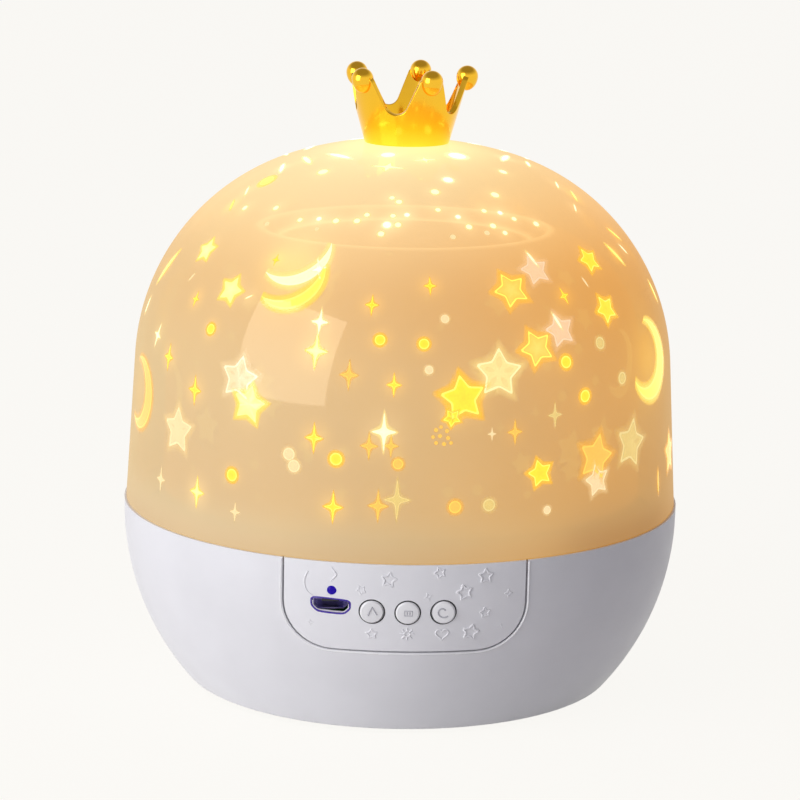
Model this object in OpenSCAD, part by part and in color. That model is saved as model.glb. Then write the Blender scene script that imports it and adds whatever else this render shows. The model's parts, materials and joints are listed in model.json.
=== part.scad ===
// Star night light projector: a white bowl base with a control panel, a tinted dome,
// a printed drum that a gear motor turns round a lamp, and a gold crown on top.
// Origin at the centre of the plane the feet stand on, +Z up, control panel towards -Y.

/* [Base] */
// Diameter of the base at its rim
base_d = 130; // [124:1:138]
// Height of the seam between base and dome
seam_z = 43; // [42:0.5:47]
// Height of the straight band at the top of the bowl
rim_band = 2; // [1:0.5:4]
// Radius of the bowl's side arc
bowl_r = 61; // [58:0.5:64]
// Wall of the bowl
base_wall = 2.4; // [2.2:0.1:3]
// Rounding of the bowl's bottom edge
sole_round = 2; // [1:0.5:3]
// Ring of floor between the bottom cover and the bowl's edge
floor_land = 4; // [3.5:0.5:5]
// Width of the ledge that the bottom cover seats on
ledge_w = 4; // [3:0.5:5]
// Thickness of the bottom cover and of the floor round it
cover_t = 2.2; // [1.8:0.1:3]
// Diameter of the rubber feet
foot_d = 10; // [8:0.5:12]
// Height that the feet stand proud
foot_h = 1; // [0.8:0.1:2]
// Radius of the screw posts
post_r = 3.4; // [3:0.1:4]

/* [Control panel] */
// Half width of the panel
panel_half_w = 26.7; // [25.5:0.1:28]
// Depth of the panel below the seam
panel_h = 20.5; // [19:0.5:23]
// Radius of the panel's lower corners
panel_corner = 11; // [8:0.5:14]
// Thickness of the panel
panel_t = 1.15; // [1:0.05:1.3]
// Groove round the panel
panel_gap = 0.4; // [0.3:0.05:0.6]
// Depth of the button row below the seam
button_drop = 10.8; // [10:0.1:11.5]
// Distance between buttons
button_pitch = 7.75; // [7.2:0.05:8]
// Diameter of a button's cap
button_d = 5.2; // [4.6:0.1:5.6]
// Travel of a button
button_travel = 0.5; // [0.3:0.05:0.6]
// Height that a button stands proud
button_proud = 0.4; // [0.2:0.1:0.6]

/* [Charging socket] */
// Width of the socket's steel shell
usb_w = 7.8; // [7.5:0.1:8]
// Height of the socket's steel shell
usb_h = 2.7; // [2.4:0.1:3]
// Gap round the socket in the panel
usb_gap = 0.2; // [0.1:0.05:0.4]
// Diameter of the charge light
pipe_d = 2; // [1.6:0.1:2.4]

/* [Dome] */
// Height of the dome above the seam
dome_h = 84.2; // [82:0.1:90]
// Radius of the dome's shoulder
shoulder_r = 51.8; // [48:0.2:54]
// Radius of the dome's cap
cap_r = 91.7; // [86:0.5:98]
// Draft of the dome's wall
dome_draft = 3.48; // [2.5:0.1:4.5]
// Wall of the dome
dome_wall = 2; // [1.6:0.1:2.4]
// Depth of the dome's spigot inside the rim
spigot_h = 3.5; // [3:0.1:4]

/* [Crown] */
// Diameter of the crown's foot
crown_d = 19.5; // [18:0.5:21]
// Height of the crown, balls included
crown_h = 17.8; // [16:0.1:19]
// Height of the valleys between the points
valley_h = 7.3; // [7:0.1:9]
// Outward lean of the crown, as run over rise
crown_flare = 0.28; // [0.24:0.02:0.36]
// Wall of the crown
crown_wall = 1.3; // [1.1:0.1:1.6]
// Diameter of the balls
ball_d = 5; // [4.4:0.1:5.2]
// Number of points
crown_points = 5; // [5:1:6]

/* [Drum and its drive] */
// Gap between the drum and the dome's wall at the bottom
drum_gap = 6.3; // [5.8:0.1:7]
// Wall of the drum
drum_wall = 1; // [0.8:0.1:1.2]
// Radius of the drum's shoulder
drum_round = 28; // [26:0.5:29]
// Diameter of the drum's crest, the ring round the star disc
crest_d = 67; // [64:0.5:70]
// Distance of the crest below the top of the dome
crest_drop = 20; // [19.5:0.1:23]
// Diameter of the star disc
disc_d = 58.4; // [56:0.2:59]
// Depth of the star disc below the crest
disc_sink = 3; // [2:0.5:4]
// Module of the gears
gear_module = 1; // [0.95:0.05:1.1]
// Teeth of the ring gear
drum_teeth = 44; // [42:1:46]
// Teeth of the pinion
pinion_teeth = 16; // [16:1:18]
// Face width of the gears
gear_face = 4; // [3.5:0.1:4.5]
// Diameter of the gear motor
motor_d = 28; // [24:1:29]
// Height of the gear motor
motor_h = 19; // [15:1:20]
// Diameter of the journal that the turntable runs on
journal_d = 18; // [17:0.5:19]
// Diameter of the lamp's lens
lens_d = 28; // [24:1:29]

/* [Battery] */
// Diameter of the cell
cell_d = 18.4; // [16:0.2:18.6]
// Length of the cell
cell_l = 65; // [50:1:66]

/* [Hidden] */
$fn = 96;
eps = 0.02;
seat_gap = 0.05; // between curved faces that seat on each other
slide_gap = 0.3; // round buttons and loose covers
run_gap = 0.05; // radial, round shafts
arc_steps = 20;

rim_r = base_d / 2;
bowl_c = [rim_r - bowl_r, seam_z - rim_band]; // centre of the side arc, in radius and height
cover_z = foot_h;
ledge_z = cover_z + cover_t;
ledge_t = 2;
ledge_top = ledge_z + ledge_t;
cover_r = bowl_at(cover_z, 0) - floor_land;
ledge_r = cover_r - ledge_w;
post_ring = ledge_r + 1.5 - post_r;
post_angles = [45:90:315];
pilot_r = 1.25;
foot_ring = post_ring - 2;
foot_sink = 1;
head_t = 1.6; // pan heads of the screws
head_r = 2.6;

deck_t = 2;
deck_z = seam_z - 4.5 - deck_t;
deck_top = deck_z + deck_t;
deck_r = rim_r - base_wall - 2;

rest_round = 0.35; // crown of the button caps
button_z = seam_z - button_drop;
panel_z = seam_z - panel_h;
recess_t = panel_t + seat_gap;
window_edge = 2.7; // land that the panel seats on
window_half_w = panel_half_w - window_edge;
window_corner = 2.5;
tilt = asin((bowl_c[1] - button_z) / bowl_r); // lean of the wall at the buttons
wall_at_buttons = bowl_at(button_z, 0);
row_shift = 0.6;
button_us = [for (i = [-1:1]) row_shift + i * button_pitch];
flange_r = button_d / 2 + 0.9;
flange_t = 0.8;
flange_w = panel_back(max([for (u = button_us) abs(u)]) + flange_r) - 0.25;
switch_side = 6;
switch_t = 3.5;
plunger_r = 1.75;
plunger_out = button_travel + 0.3;
plunger_w = flange_w - flange_t - 0.8; // outer end of the plungers
board_w = plunger_w - plunger_out - switch_t; // face of the board
board_t = 1.6;
board_half_l = window_half_w - 1.8;
board_v = [-7.4, 5.3];
board_screw = [board_half_l - 2.2, -4.2];
board_pilot_r = 0.8;
usb_uv = [-16.1, 0.6];
usb_wall = 0.3;
usb_mouth_w = panel_face(abs(usb_uv[0]) + usb_w / 2) - 0.4;
pipe_uv = [-15.9, 4.2];

dome_z = seam_z;
dome_top = dome_z + dome_h;
dome_r0 = rim_r - 0.43;
nx = cos(dome_draft);
nz = sin(dome_draft);
slope = nz / nx;
cap_z = dome_top - cap_r; // height of the cap's centre
wall_k = (nx * dome_r0 + nz * dome_z - shoulder_r) / nx;
root_b = wall_k * slope + cap_z;
root_c = wall_k * wall_k + cap_z * cap_z - pow(cap_r - shoulder_r, 2);
shoulder_z = (root_b + sqrt(root_b * root_b - (1 + slope * slope) * root_c)) / (1 + slope * slope);
shoulder_c = [wall_k - slope * shoulder_z, shoulder_z];
cap_angle = atan2(shoulder_z - cap_z, shoulder_c[0]);
crown_seat_r = crown_d / 2 + 0.3;
crown_z = cap_z + sqrt(cap_r * cap_r - crown_seat_r * crown_seat_r);
crown_hole_r = 3.7;
pad_r = 8;
pad_z = crown_z - dome_wall - 0.4;
spigot_r = rim_r - base_wall - slide_gap;
spigot_t = 2;
spigot_foot = dome_z - spigot_h;
key_angles = [90:120:330];
key_w = 3;
key_t = 1.2;

crown_floor = 1.6;
ball_r = ball_d / 2;
tip_r = ball_r - 0.15;
ball_z = crown_h - ball_r;
swell_r = ball_r - 0.25;
swell_drop = 1.1;
ball_ring = crown_d / 2 + crown_flare * ball_z - 0.3;
valley_r = 3; // round bottom of the valleys
first_point = -67.8; // direction of the front right point
screw_boss_r = crown_hole_r - 0.2;

gear_pitch_r = gear_module * drum_teeth / 2;
pinion_pitch_r = gear_module * pinion_teeth / 2;
shaft_y = gear_pitch_r + pinion_pitch_r;
post_flange_t = 2;
washer_t = 0.5;
hub_z = deck_top + post_flange_t + washer_t;
gear_z = hub_z + 0.4;
table_z = gear_z + gear_face; // underside of the turntable
table_t = 2;
table_top = table_z + table_t;
drum_z = table_top - 1; // seat of the drum
hub_top = table_top + 3.3;
journal_r = journal_d / 2;
hub_r = journal_r + 2.5;
ring_t = 0.9;
post_top = hub_top + 9.6;
post_neck_r = journal_r - 0.4;
wire_r = 5.5;
post_flange_r = hub_r + 4.6;
post_screw_ring = hub_r + 2.1;
gear_bore_r = post_flange_r + 1.2;
shaft_r = 2.5;
shaft_flat = 1.5; // half distance across the flats
shaft_sink = 6; // how deep the shaft stands in the motor
motor_r = motor_d / 2;
motor_y = shaft_y - 8;
motor_z = deck_z - motor_h;
motor_ear = 17.5;
motor_ear_t = 0.8;

drum_r = dome_at(drum_z, dome_wall) - drum_gap;
drum_draft = 1.7;
disc_t = 1;
disc_r = disc_d / 2;
crest_z = dome_top - crest_drop;
disc_z = crest_z - disc_sink - disc_t;
disc_top = disc_z + disc_t;
crest = [crest_d / 2, crest_z];
// centre of the shoulder: as far from the wall's line as from the crest
wall_n = [cos(drum_draft), sin(drum_draft)];
wall_t = [-wall_n[1], wall_n[0]];
wall_foot = [drum_r, drum_z] - drum_round * wall_n;
rise_b = wall_t * (wall_foot - crest);
rise_c = (wall_foot - crest) * (wall_foot - crest) - drum_round * drum_round;
drum_c = wall_foot + (-rise_b - sqrt(rise_b * rise_b - rise_c)) * wall_t;
drum_ledge = 2.2;
drum_ledge_t = 1.2;

head_z = post_top;
head_plate_t = 2;
lamp_z = head_z + head_plate_t;
lens_r = lens_d / 2;
lens_wall = 1.2;
lens_flange = 1.6;
lamp_head_r = lens_r + lens_flange + 0.6;
led_board_r = lens_r - lens_wall - 0.3;
led_board_t = 1.2;
chip = 3.5;
chip_t = 1.1;

cell_r = cell_d / 2;
cradle_t = 1.4;
cradle_l = 44;
cell_z = ledge_z + cradle_t + cell_r + seat_gap;
cell_y = motor_y - motor_r - 3.5 - cell_r - cradle_t - 4;
strap_w = 9;
strap_t = 0.6;

// ---- outlines ----

// Points on an arc about c from angle a to angle b
function arc(c, r, a, b, n = arc_steps) =
    [for (i = [0:n]) c + r * [cos(a + (b - a) * i / n), sin(a + (b - a) * i / n)]];

function reversed(p) = [for (i = [len(p) - 1:-1:0]) p[i]];

// Radius of the bowl at height z, a distance inside its outer face
function bowl_at(z, inside) =
    bowl_c[0] + sqrt(pow(bowl_r - inside, 2) - pow(max(bowl_c[1] - z, 0), 2));

// The bowl's wall line from height a up to height b
function bowl_line(inside, a, b) =
    concat(
        arc(bowl_c, bowl_r - inside, -asin((bowl_c[1] - a) / (bowl_r - inside)), 0),
        [[rim_r - inside, b]]
    );

// A skin of the bowl between two depths
function bowl_skin(outside, inside, a, b) =
    concat(bowl_line(outside, a, b), reversed(bowl_line(inside, a, b)));

// Height over the panel's own plane of its face, and of its back, a distance u from its middle
function panel_face(u) =
    (sqrt(wall_at_buttons * wall_at_buttons - u * u) - wall_at_buttons) * cos(tilt);
function panel_back(u) = panel_face(u) - panel_t;

// Radius of the dome at height z, a distance inside its outer face
function dome_at(z, inside) =
    z < shoulder_z + (shoulder_r - inside) * nz
        ? dome_r0 - (z - dome_z) * slope - inside / nx
        : z < cap_z + (cap_r - inside) * sin(cap_angle)
            ? shoulder_c[0] + sqrt(pow(shoulder_r - inside, 2) - pow(z - shoulder_z, 2))
            : sqrt(pow(cap_r - inside, 2) - pow(z - cap_z, 2));

// The dome's line from the crown's seat down to the top of its wall
function dome_line(inside, r_top) =
    concat(
        arc([0, cap_z], cap_r - inside, acos(r_top / (cap_r - inside)), cap_angle, 8),
        arc(shoulder_c, shoulder_r - inside, cap_angle - 3, dome_draft, 24)
    );

// Involute of a circle: half the angle of a tooth at radius r
function involute(a) = tan(a) * 180 / PI - a;
function tooth_half(teeth, pitch_r, r, backlash) =
    90 / teeth + involute(20) - backlash / pitch_r * 90 / PI
        - (r > pitch_r * cos(20) ? involute(acos(pitch_r * cos(20) / r)) : 0);

// Outline of a spur gear with a tooth centred on the X axis
module gear_outline(teeth, backlash = 0.14) {
    pitch_r = gear_module * teeth / 2;
    tip = pitch_r + gear_module;
    root = pitch_r - 1.25 * gear_module;
    radii = [for (i = [0:4]) root + (tip - root) * i / 4];
    polygon([
        for (k = [0:teeth - 1])
            for (p = concat(
                [for (r = radii) [r, -tooth_half(teeth, pitch_r, r, backlash)]],
                [for (r = reversed(radii)) [r, tooth_half(teeth, pitch_r, r, backlash)]]
            ))
                p[0] * [cos(k * 360 / teeth + p[1]), sin(k * 360 / teeth + p[1])]
    ]);
}

// ---- shared shapes ----

// A flat tube standing on z
module ring(outer, inner, z, h) {
    translate([0, 0, z])
        difference() {
            cylinder(r = outer, h = h);
            translate([0, 0, -1])
                cylinder(r = inner, h = h + 2);
        }
}

module rod(r, a, b) {
    translate([0, 0, a])
        cylinder(r = r, h = b - a);
}

// A pan head screw with its seat at z = 0 and its shank towards +Z
module pan_screw(shank_r, length, r = head_r, t = head_t) {
    rotate_extrude()
        polygon(concat(
            [[0, -t]],
            arc([r - 0.8, 0.8 - t], 0.8, -90, 0, 5),
            [[r, 0], [shank_r, 0], [shank_r, length - shank_r], [0, length]]
        ));
}

// Places a child at each screw post
module at_posts() {
    for (a = post_angles)
        rotate([0, 0, a])
            translate([post_ring, 0, 0])
                children();
}

// Frame of the panel: X along the button row, Y up the wall, Z straight out of the wall
module at_panel() {
    translate([0, -wall_at_buttons, button_z])
        rotate([90 + tilt, 0, 0])
            children();
}

// Outline of the panel seen from the front, grown by g, swept to the front
module panel_prism(half_w, bottom, corner, top) {
    rotate([90, 0, 0])
        linear_extrude(height = base_d)
            polygon(concat(
                [[half_w, top]],
                arc([half_w - corner, bottom + corner], corner, 0, -90, 12),
                arc([corner - half_w, bottom + corner], corner, -90, -180, 12),
                [[-half_w, top]]
            ));
}

// Section of the socket: a flat top and lower corners cut off
module usb_outline(w, h) {
    polygon([
        [-w / 2, h / 2], [-w / 2, -h * 0.1], [-w / 2 + h * 0.4, -h / 2],
        [w / 2 - h * 0.4, -h / 2], [w / 2, -h * 0.1], [w / 2, h / 2]
    ]);
}

// ---- base ----

module base_body() {
    sole_c = [
        bowl_c[0] + sqrt(pow(bowl_r - sole_round, 2) - pow(bowl_c[1] - cover_z - sole_round, 2)),
        cover_z + sole_round
    ];
    sole_a = atan2(sole_c[1] - bowl_c[1], sole_c[0] - bowl_c[0]);
    rotate_extrude()
        polygon(concat(
            [[cover_r + slide_gap, cover_z]],
            arc(sole_c, sole_round, -90, sole_a, 6),
            arc(bowl_c, bowl_r, sole_a + 1.5, 0),
            [[rim_r, seam_z]],
            reversed(bowl_line(base_wall, ledge_top, seam_z)),
            [[ledge_r, ledge_top], [ledge_r, ledge_z], [cover_r + slide_gap, ledge_z]]
        ));
}

// Webs that tie the posts to the wall
module post_webs() {
    web_t = 1.8;
    web_h = 16;
    intersection() {
        for (a = post_angles)
            rotate([0, 0, a])
                translate([post_ring, -web_t / 2, ledge_z])
                    cube([rim_r - post_ring, web_t, web_h]);
        rotate_extrude()
            polygon(concat([[0, ledge_z]], bowl_line(base_wall / 2, ledge_z, seam_z), [[0, seam_z]]));
    }
}

module base_shell() {
    color("whitesmoke")
        difference() {
            union() {
                base_body();
                post_webs();
                at_posts()
                    rod(post_r, ledge_z, deck_z);
                // keys that the dome's spigot drops over
                for (a = key_angles)
                    rotate([0, 0, a])
                        translate([rim_r - base_wall - key_t, -key_w / 2, spigot_foot - 0.5])
                            cube([key_t + base_wall / 2, key_w, spigot_h - 0.1]);
            }
            at_posts() {
                rod(pilot_r, ledge_z - 1, ledge_z + 14);
                rod(pilot_r, deck_z - 12, deck_z + 1);
            }
            // recess that the panel lies in, and the window behind it
            intersection() {
                rotate_extrude()
                    polygon(bowl_skin(-1, recess_t, panel_z - 2, seam_z + 1));
                panel_prism(panel_half_w, panel_z, panel_corner, seam_z + 2);
            }
            intersection() {
                panel_prism(window_half_w, panel_z + window_edge, window_corner, seam_z - spigot_h);
                translate([-rim_r, -rim_r, 0])
                    cube([base_d, rim_r / 2, seam_z]);
            }
        }
}

module bottom_cover() {
    color("gainsboro")
        difference() {
            union() {
                rod(cover_r, cover_z, ledge_z);
                // stiffening ring inside
                ring(ledge_r - 0.6, ledge_r - 2, ledge_z - eps, 2);
            }
            at_posts() {
                rod(pilot_r + 0.4, 0, ledge_z + 3);
                rod(head_r + 0.4, 0, cover_z + head_t / 2);
                rod(post_r + slide_gap, ledge_z, ledge_z + 3);
            }
            for (a = [0:90:270])
                rotate([0, 0, a])
                    translate([foot_ring, 0, 0])
                        rod(foot_d / 2 + 0.15, 0, cover_z + foot_sink);
        }
}

module case_screws() {
    color("silver")
        at_posts()
            translate([0, 0, cover_z + head_t / 2])
                pan_screw(pilot_r - seat_gap, 12, head_r, head_t / 2 - 0.1);
}

module rubber_feet() {
    color("dimgray")
        for (a = [0:90:270])
            rotate([0, 0, a])
                translate([foot_ring, 0, 0])
                    rotate_extrude()
                        polygon([
                            [0, 0], [foot_d / 2 - 0.5, 0], [foot_d / 2, 0.5],
                            [foot_d / 2, cover_z + foot_sink], [0, cover_z + foot_sink]
                        ]);
}

// ---- control panel ----

module control_panel() {
    hook_w = 6;
    hook_t = 1.2;
    hook_y = -sqrt(pow(bowl_at(button_z, base_wall), 2) - pow(window_half_w + 1, 2)) + 0.4;
    color("white")
        difference() {
            union() {
                intersection() {
                    rotate_extrude()
                        polygon(bowl_skin(0, panel_t, panel_z - 2, seam_z));
                    panel_prism(
                        panel_half_w - panel_gap, panel_z + panel_gap, panel_corner - panel_gap, seam_z + 2
                    );
                }
                // posts that carry the board
                difference() {
                    at_panel()
                        for (s = [-1, 1])
                            translate([s * board_screw[0], board_screw[1], 0])
                                rod(2.1, board_w, -1);
                    rotate_extrude()
                        polygon(bowl_skin(-5, panel_t / 2, panel_z - 2, seam_z + 2));
                }
                // snap hooks at the sides of the window
                for (s = [0, 1])
                    mirror([s, 0, 0])
                        intersection() {
                            translate([0, 0, button_z])
                                linear_extrude(height = hook_w)
                                    polygon([
                                        [window_half_w - 0.2 - hook_t, -rim_r],
                                        [window_half_w - 0.2, -rim_r],
                                        [window_half_w - 0.2, hook_y],
                                        [window_half_w + 0.8, hook_y],
                                        [window_half_w - 0.2 - hook_t / 2, hook_y + 2],
                                        [window_half_w - 0.2 - hook_t, hook_y + 2]
                                    ]);
                            rod(bowl_at(button_z, panel_t / 2), panel_z, seam_z);
                        }
            }
            at_panel() {
                for (u = button_us)
                    translate([u, 0, 0])
                        rod(button_d / 2 + slide_gap, -8, 2);
                translate([usb_uv[0], usb_uv[1], -8])
                    linear_extrude(height = 10)
                        usb_outline(usb_w + 2 * usb_gap, usb_h + 2 * usb_gap);
                translate([pipe_uv[0], pipe_uv[1], 0])
                    rod(pipe_d / 2 + seat_gap, -8, 2);
                for (s = [-1, 1])
                    translate([s * board_screw[0], board_screw[1], 0])
                        rod(board_pilot_r, board_w - 1, board_w + 4);
            }
        }
}

// Button i, counted from the left: cap, flange that holds it in, and stem
module button(i) {
    u = button_us[i];
    top = panel_face(u) + button_proud;
    cap = button_d / 2;
    color("white")
        at_panel()
            translate([u, 0, 0])
                rotate_extrude()
                    polygon([
                        [0, plunger_w], [1.3, plunger_w], [1.3, flange_w - flange_t],
                        [flange_r, flange_w - flange_t], [flange_r, flange_w], [cap, flange_w],
                        [cap, top - rest_round], [cap - 0.3, top - 0.08], [cap * 0.5, top], [0, top]
                    ]);
}

module plunger(i) {
    color("black")
        at_panel()
            translate([button_us[i], 0, 0])
                rod(plunger_r, plunger_w - plunger_out - 0.9, plunger_w);
}

module button_left() {
    button(0);
}

module button_middle() {
    button(1);
}

module button_right() {
    button(2);
}

module plunger_left() {
    plunger(0);
}

module plunger_middle() {
    plunger(1);
}

module plunger_right() {
    plunger(2);
}

module tact_switches() {
    color("silver")
        at_panel()
            for (u = button_us)
                translate([u, 0, 0])
                    difference() {
                        translate([-switch_side / 2, -switch_side / 2, board_w])
                            cube([switch_side, switch_side, switch_t]);
                        rod(plunger_r + run_gap, board_w + 1.4, board_w + switch_t + 1);
                    }
}

module control_board() {
    color("darkgreen")
        at_panel()
            difference() {
                translate([-board_half_l, board_v[0], board_w - board_t])
                    cube([2 * board_half_l, board_v[1] - board_v[0], board_t]);
                for (s = [-1, 1])
                    translate([s * board_screw[0], board_screw[1], 0])
                        rod(board_pilot_r + 0.3, board_w - board_t - 1, board_w + 1);
            }
}

module board_screws() {
    color("silver")
        at_panel()
            for (s = [-1, 1])
                translate([s * board_screw[0], board_screw[1], board_w - board_t])
                    pan_screw(board_pilot_r - seat_gap, board_t + 3.6, 1.8, 1.2);
}

module usb_socket() {
    color("silver")
        at_panel()
            translate([usb_uv[0], usb_uv[1], board_w])
                difference() {
                    linear_extrude(height = usb_mouth_w - board_w)
                        usb_outline(usb_w, usb_h);
                    translate([0, 0, 1])
                        linear_extrude(height = usb_mouth_w - board_w)
                            usb_outline(usb_w - 2 * usb_wall, usb_h - 2 * usb_wall);
                }
}

module usb_tongue() {
    tongue_w = 3.8;
    color("black")
        at_panel()
            translate([usb_uv[0] - tongue_w / 2, usb_uv[1] + usb_h / 2 - usb_wall - 0.9, board_w + 1])
                cube([tongue_w, 0.6, usb_mouth_w - board_w - 1.6]);
}

module charge_led() {
    color("ivory")
        at_panel()
            translate([pipe_uv[0] - 0.8, pipe_uv[1] - 0.5, board_w])
                cube([1.6, 1, 0.8]);
}

module light_pipe() {
    color("navy")
        at_panel()
            translate([pipe_uv[0], pipe_uv[1], 0])
                rotate_extrude()
                    polygon([
                        [0, board_w + 0.9], [pipe_d / 2, board_w + 0.9],
                        [pipe_d / 2, panel_face(abs(pipe_uv[0])) - 0.25],
                        [pipe_d / 4, panel_face(abs(pipe_uv[0])) + 0.05],
                        [0, panel_face(abs(pipe_uv[0])) + 0.1]
                    ]);
}

// ---- battery ----

// Places children along the cell's axis, which becomes local Z
module at_cell() {
    translate([0, cell_y, cell_z])
        rotate([0, 90, 0])
            children();
}

module battery() {
    color("steelblue")
        at_cell()
            translate([0, 0, -cell_l / 2])
                rotate_extrude()
                    polygon([
                        [0, 0], [cell_r - 0.6, 0], [cell_r, 0.6], [cell_r, cell_l - 1.6],
                        [cell_r - 0.6, cell_l - 1], [2.8, cell_l - 1], [2.8, cell_l], [0, cell_l]
                    ]);
}

module battery_cradle() {
    half_w = cell_r + cradle_t;
    color("gainsboro")
        difference() {
            union() {
                translate([-cradle_l / 2, cell_y - half_w, ledge_z])
                    cube([cradle_l, 2 * half_w, cell_z - ledge_z]);
                translate([-strap_w / 2, cell_y - half_w - 4, ledge_z])
                    cube([strap_w, 2 * half_w + 8, 6]);
            }
            at_cell()
                translate([0, 0, -cradle_l])
                    cylinder(r = cell_r + seat_gap, h = 2 * cradle_l);
            for (x = [-1, 1])
                translate([x * cradle_l / 4 - 5, cell_y - half_w - 1, ledge_z + 6])
                    cube([10, 2 * half_w + 2, cell_r]);
        }
}

module battery_strap() {
    inner = cell_r + seat_gap;
    low = ledge_z + 6 + seat_gap;
    color("black")
        translate([-strap_w / 2, cell_y, cell_z])
            rotate([90, 0, 90])
                linear_extrude(height = strap_w)
                    polygon(concat(
                        [[cell_r + cradle_t + 4, low - cell_z], [cell_r + cradle_t + 4, low - cell_z + strap_t]],
                        [[cell_r + cradle_t + seat_gap + strap_t, low - cell_z + strap_t]],
                        [[cell_r + cradle_t + seat_gap + strap_t, strap_t / 2]],
                        arc([0, 0], inner + strap_t, 8, 172, 24),
                        [[-cell_r - cradle_t - seat_gap - strap_t, strap_t / 2]],
                        [[-cell_r - cradle_t - seat_gap - strap_t, low - cell_z + strap_t]],
                        [[-cell_r - cradle_t - 4, low - cell_z + strap_t], [-cell_r - cradle_t - 4, low - cell_z]],
                        [[-cell_r - cradle_t - seat_gap, low - cell_z]],
                        [[-cell_r - cradle_t - seat_gap, seat_gap]],
                        arc([0, 0], inner, 179.5, 0.5, 24),
                        [[cell_r + cradle_t + seat_gap, seat_gap]],
                        [[cell_r + cradle_t + seat_gap, low - cell_z]]
                    ));
}

// ---- deck and drive ----

module deck() {
    notch_y = wall_at_buttons + board_w * cos(tilt) - board_t - 3;
    color("lightgray")
        difference() {
            union() {
                rod(deck_r, deck_z, deck_top);
                for (s = [-1, 1])
                    translate([s * motor_ear, motor_y, 0])
                        rod(3, deck_top - eps, deck_top + 1.8);
                // ring that centres the lamp post
                ring(post_flange_r + 1.2, post_flange_r + seat_gap, deck_top - eps, 1.2);
            }
            translate([-board_half_l - 3, -rim_r - notch_y, deck_z - 1])
                cube([2 * board_half_l + 6, rim_r, deck_t + 2]);
            at_posts()
                rod(pilot_r + 0.4, deck_z - 1, deck_top + 1);
            rod(wire_r, deck_z - 1, deck_top + 1);
            translate([0, shaft_y, 0])
                rod(5, deck_z - 1, deck_top + 1);
            for (s = [-1, 1])
                translate([s * motor_ear, motor_y, 0])
                    rod(pilot_r, deck_z - 1, deck_top + 3);
            for (a = [30:120:270])
                rotate([0, 0, a])
                    translate([post_screw_ring, 0, 0])
                        rod(1, deck_z - 1, deck_top + 1);
        }
}

module deck_screws() {
    color("silver")
        at_posts()
            translate([0, 0, deck_top])
                mirror([0, 0, 1])
                    pan_screw(pilot_r - seat_gap, 10);
}

module gear_motor() {
    color("silver")
        difference() {
            union() {
                translate([0, motor_y, motor_z])
                    rotate_extrude()
                        polygon([
                            [0, 0], [motor_r - 0.8, 0], [motor_r, 0.8], [motor_r, motor_h], [0, motor_h]
                        ]);
                // ears
                translate([0, motor_y, deck_z - motor_ear_t])
                    linear_extrude(height = motor_ear_t)
                        difference() {
                            union() {
                                square([2 * motor_ear, 7], center = true);
                                for (s = [-1, 1])
                                    translate([s * motor_ear, 0])
                                        circle(r = 3.5);
                            }
                            for (s = [-1, 1])
                                translate([s * motor_ear, 0])
                                    circle(r = pilot_r + 0.4);
                        }
                // boss round the shaft
                translate([0, shaft_y, 0])
                    rod(4.5, deck_z - 2, deck_z + 1.5);
                // lead cover
                translate([-7.3, motor_y - motor_r - 2.5, motor_z + 1])
                    cube([14.6, motor_r, motor_h - 3]);
            }
            translate([0, shaft_y, 0])
                rod(shaft_r + run_gap, deck_z - shaft_sink - 0.2, deck_z + 3);
        }
}

module motor_screws() {
    color("silver")
        for (s = [-1, 1])
            translate([s * motor_ear, motor_y, deck_z - motor_ear_t])
                pan_screw(pilot_r - seat_gap, motor_ear_t + deck_t + 1.4, 2.6, 1.6);
}

// Shaft with two flats on its upper end
module shaft_body(grow) {
    intersection() {
        cylinder(r = shaft_r + grow, h = table_z - deck_z);
        translate([-shaft_r - 1, -shaft_flat - grow, 0])
            cube([2 * shaft_r + 2, 2 * (shaft_flat + grow), table_z - deck_z]);
    }
}

module motor_shaft() {
    color("gray")
        translate([0, shaft_y, 0]) {
            rod(shaft_r, deck_z - shaft_sink, deck_z + 1.7);
            intersection() {
                translate([0, 0, deck_z + 1.7 - eps])
                    shaft_body(0);
                rod(shaft_r + 1, deck_z, table_z - 1);
            }
        }
}

module drive_pinion() {
    color("ivory")
        translate([0, shaft_y, 0])
            difference() {
                union() {
                    rod(5, deck_z + 2.4, gear_z);
                    translate([0, 0, gear_z - 0.3])
                        rotate([0, 0, 180 / pinion_teeth - 90])
                            linear_extrude(height = gear_face)
                                gear_outline(pinion_teeth);
                }
                translate([0, 0, deck_z + 2])
                    shaft_body(0.03);
            }
}

// ---- lamp post and turntable ----

module lamp_post() {
    groove_r = journal_r - 1;
    color("ivory")
        difference() {
            rotate_extrude()
                polygon([
                    [wire_r, deck_top], [post_flange_r, deck_top],
                    [post_flange_r, deck_top + post_flange_t], [journal_r, deck_top + post_flange_t],
                    [journal_r, hub_top + 0.1], [groove_r, hub_top + 0.1],
                    [groove_r, hub_top + 0.2 + ring_t], [post_neck_r, hub_top + 0.2 + ring_t],
                    [post_neck_r, post_top], [wire_r, post_top]
                ]);
            for (a = [30:120:270])
                rotate([0, 0, a])
                    translate([post_screw_ring, 0, 0]) {
                        rod(1.2, deck_top - 1, deck_top + 3);
                        rod(2, deck_top + post_flange_t - 1, deck_top + 3);
                    }
        }
}

module post_screws() {
    color("silver")
        for (a = [30:120:270])
            rotate([0, 0, a])
                translate([post_screw_ring, 0, deck_top + post_flange_t - 1])
                    mirror([0, 0, 1])
                        pan_screw(0.95, 4, 1.9, 0.9);
}

module thrust_washer() {
    color("white")
        ring(hub_r, journal_r + 0.2, deck_top + post_flange_t, washer_t);
}

module retaining_ring() {
    color("gray")
        difference() {
            ring(hub_r - 0.2, journal_r - 1 + seat_gap, hub_top + 0.15, ring_t);
            // mouth
            translate([0, -3, hub_top])
                cube([hub_r + 1, 6, ring_t + 1]);
        }
}

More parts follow.
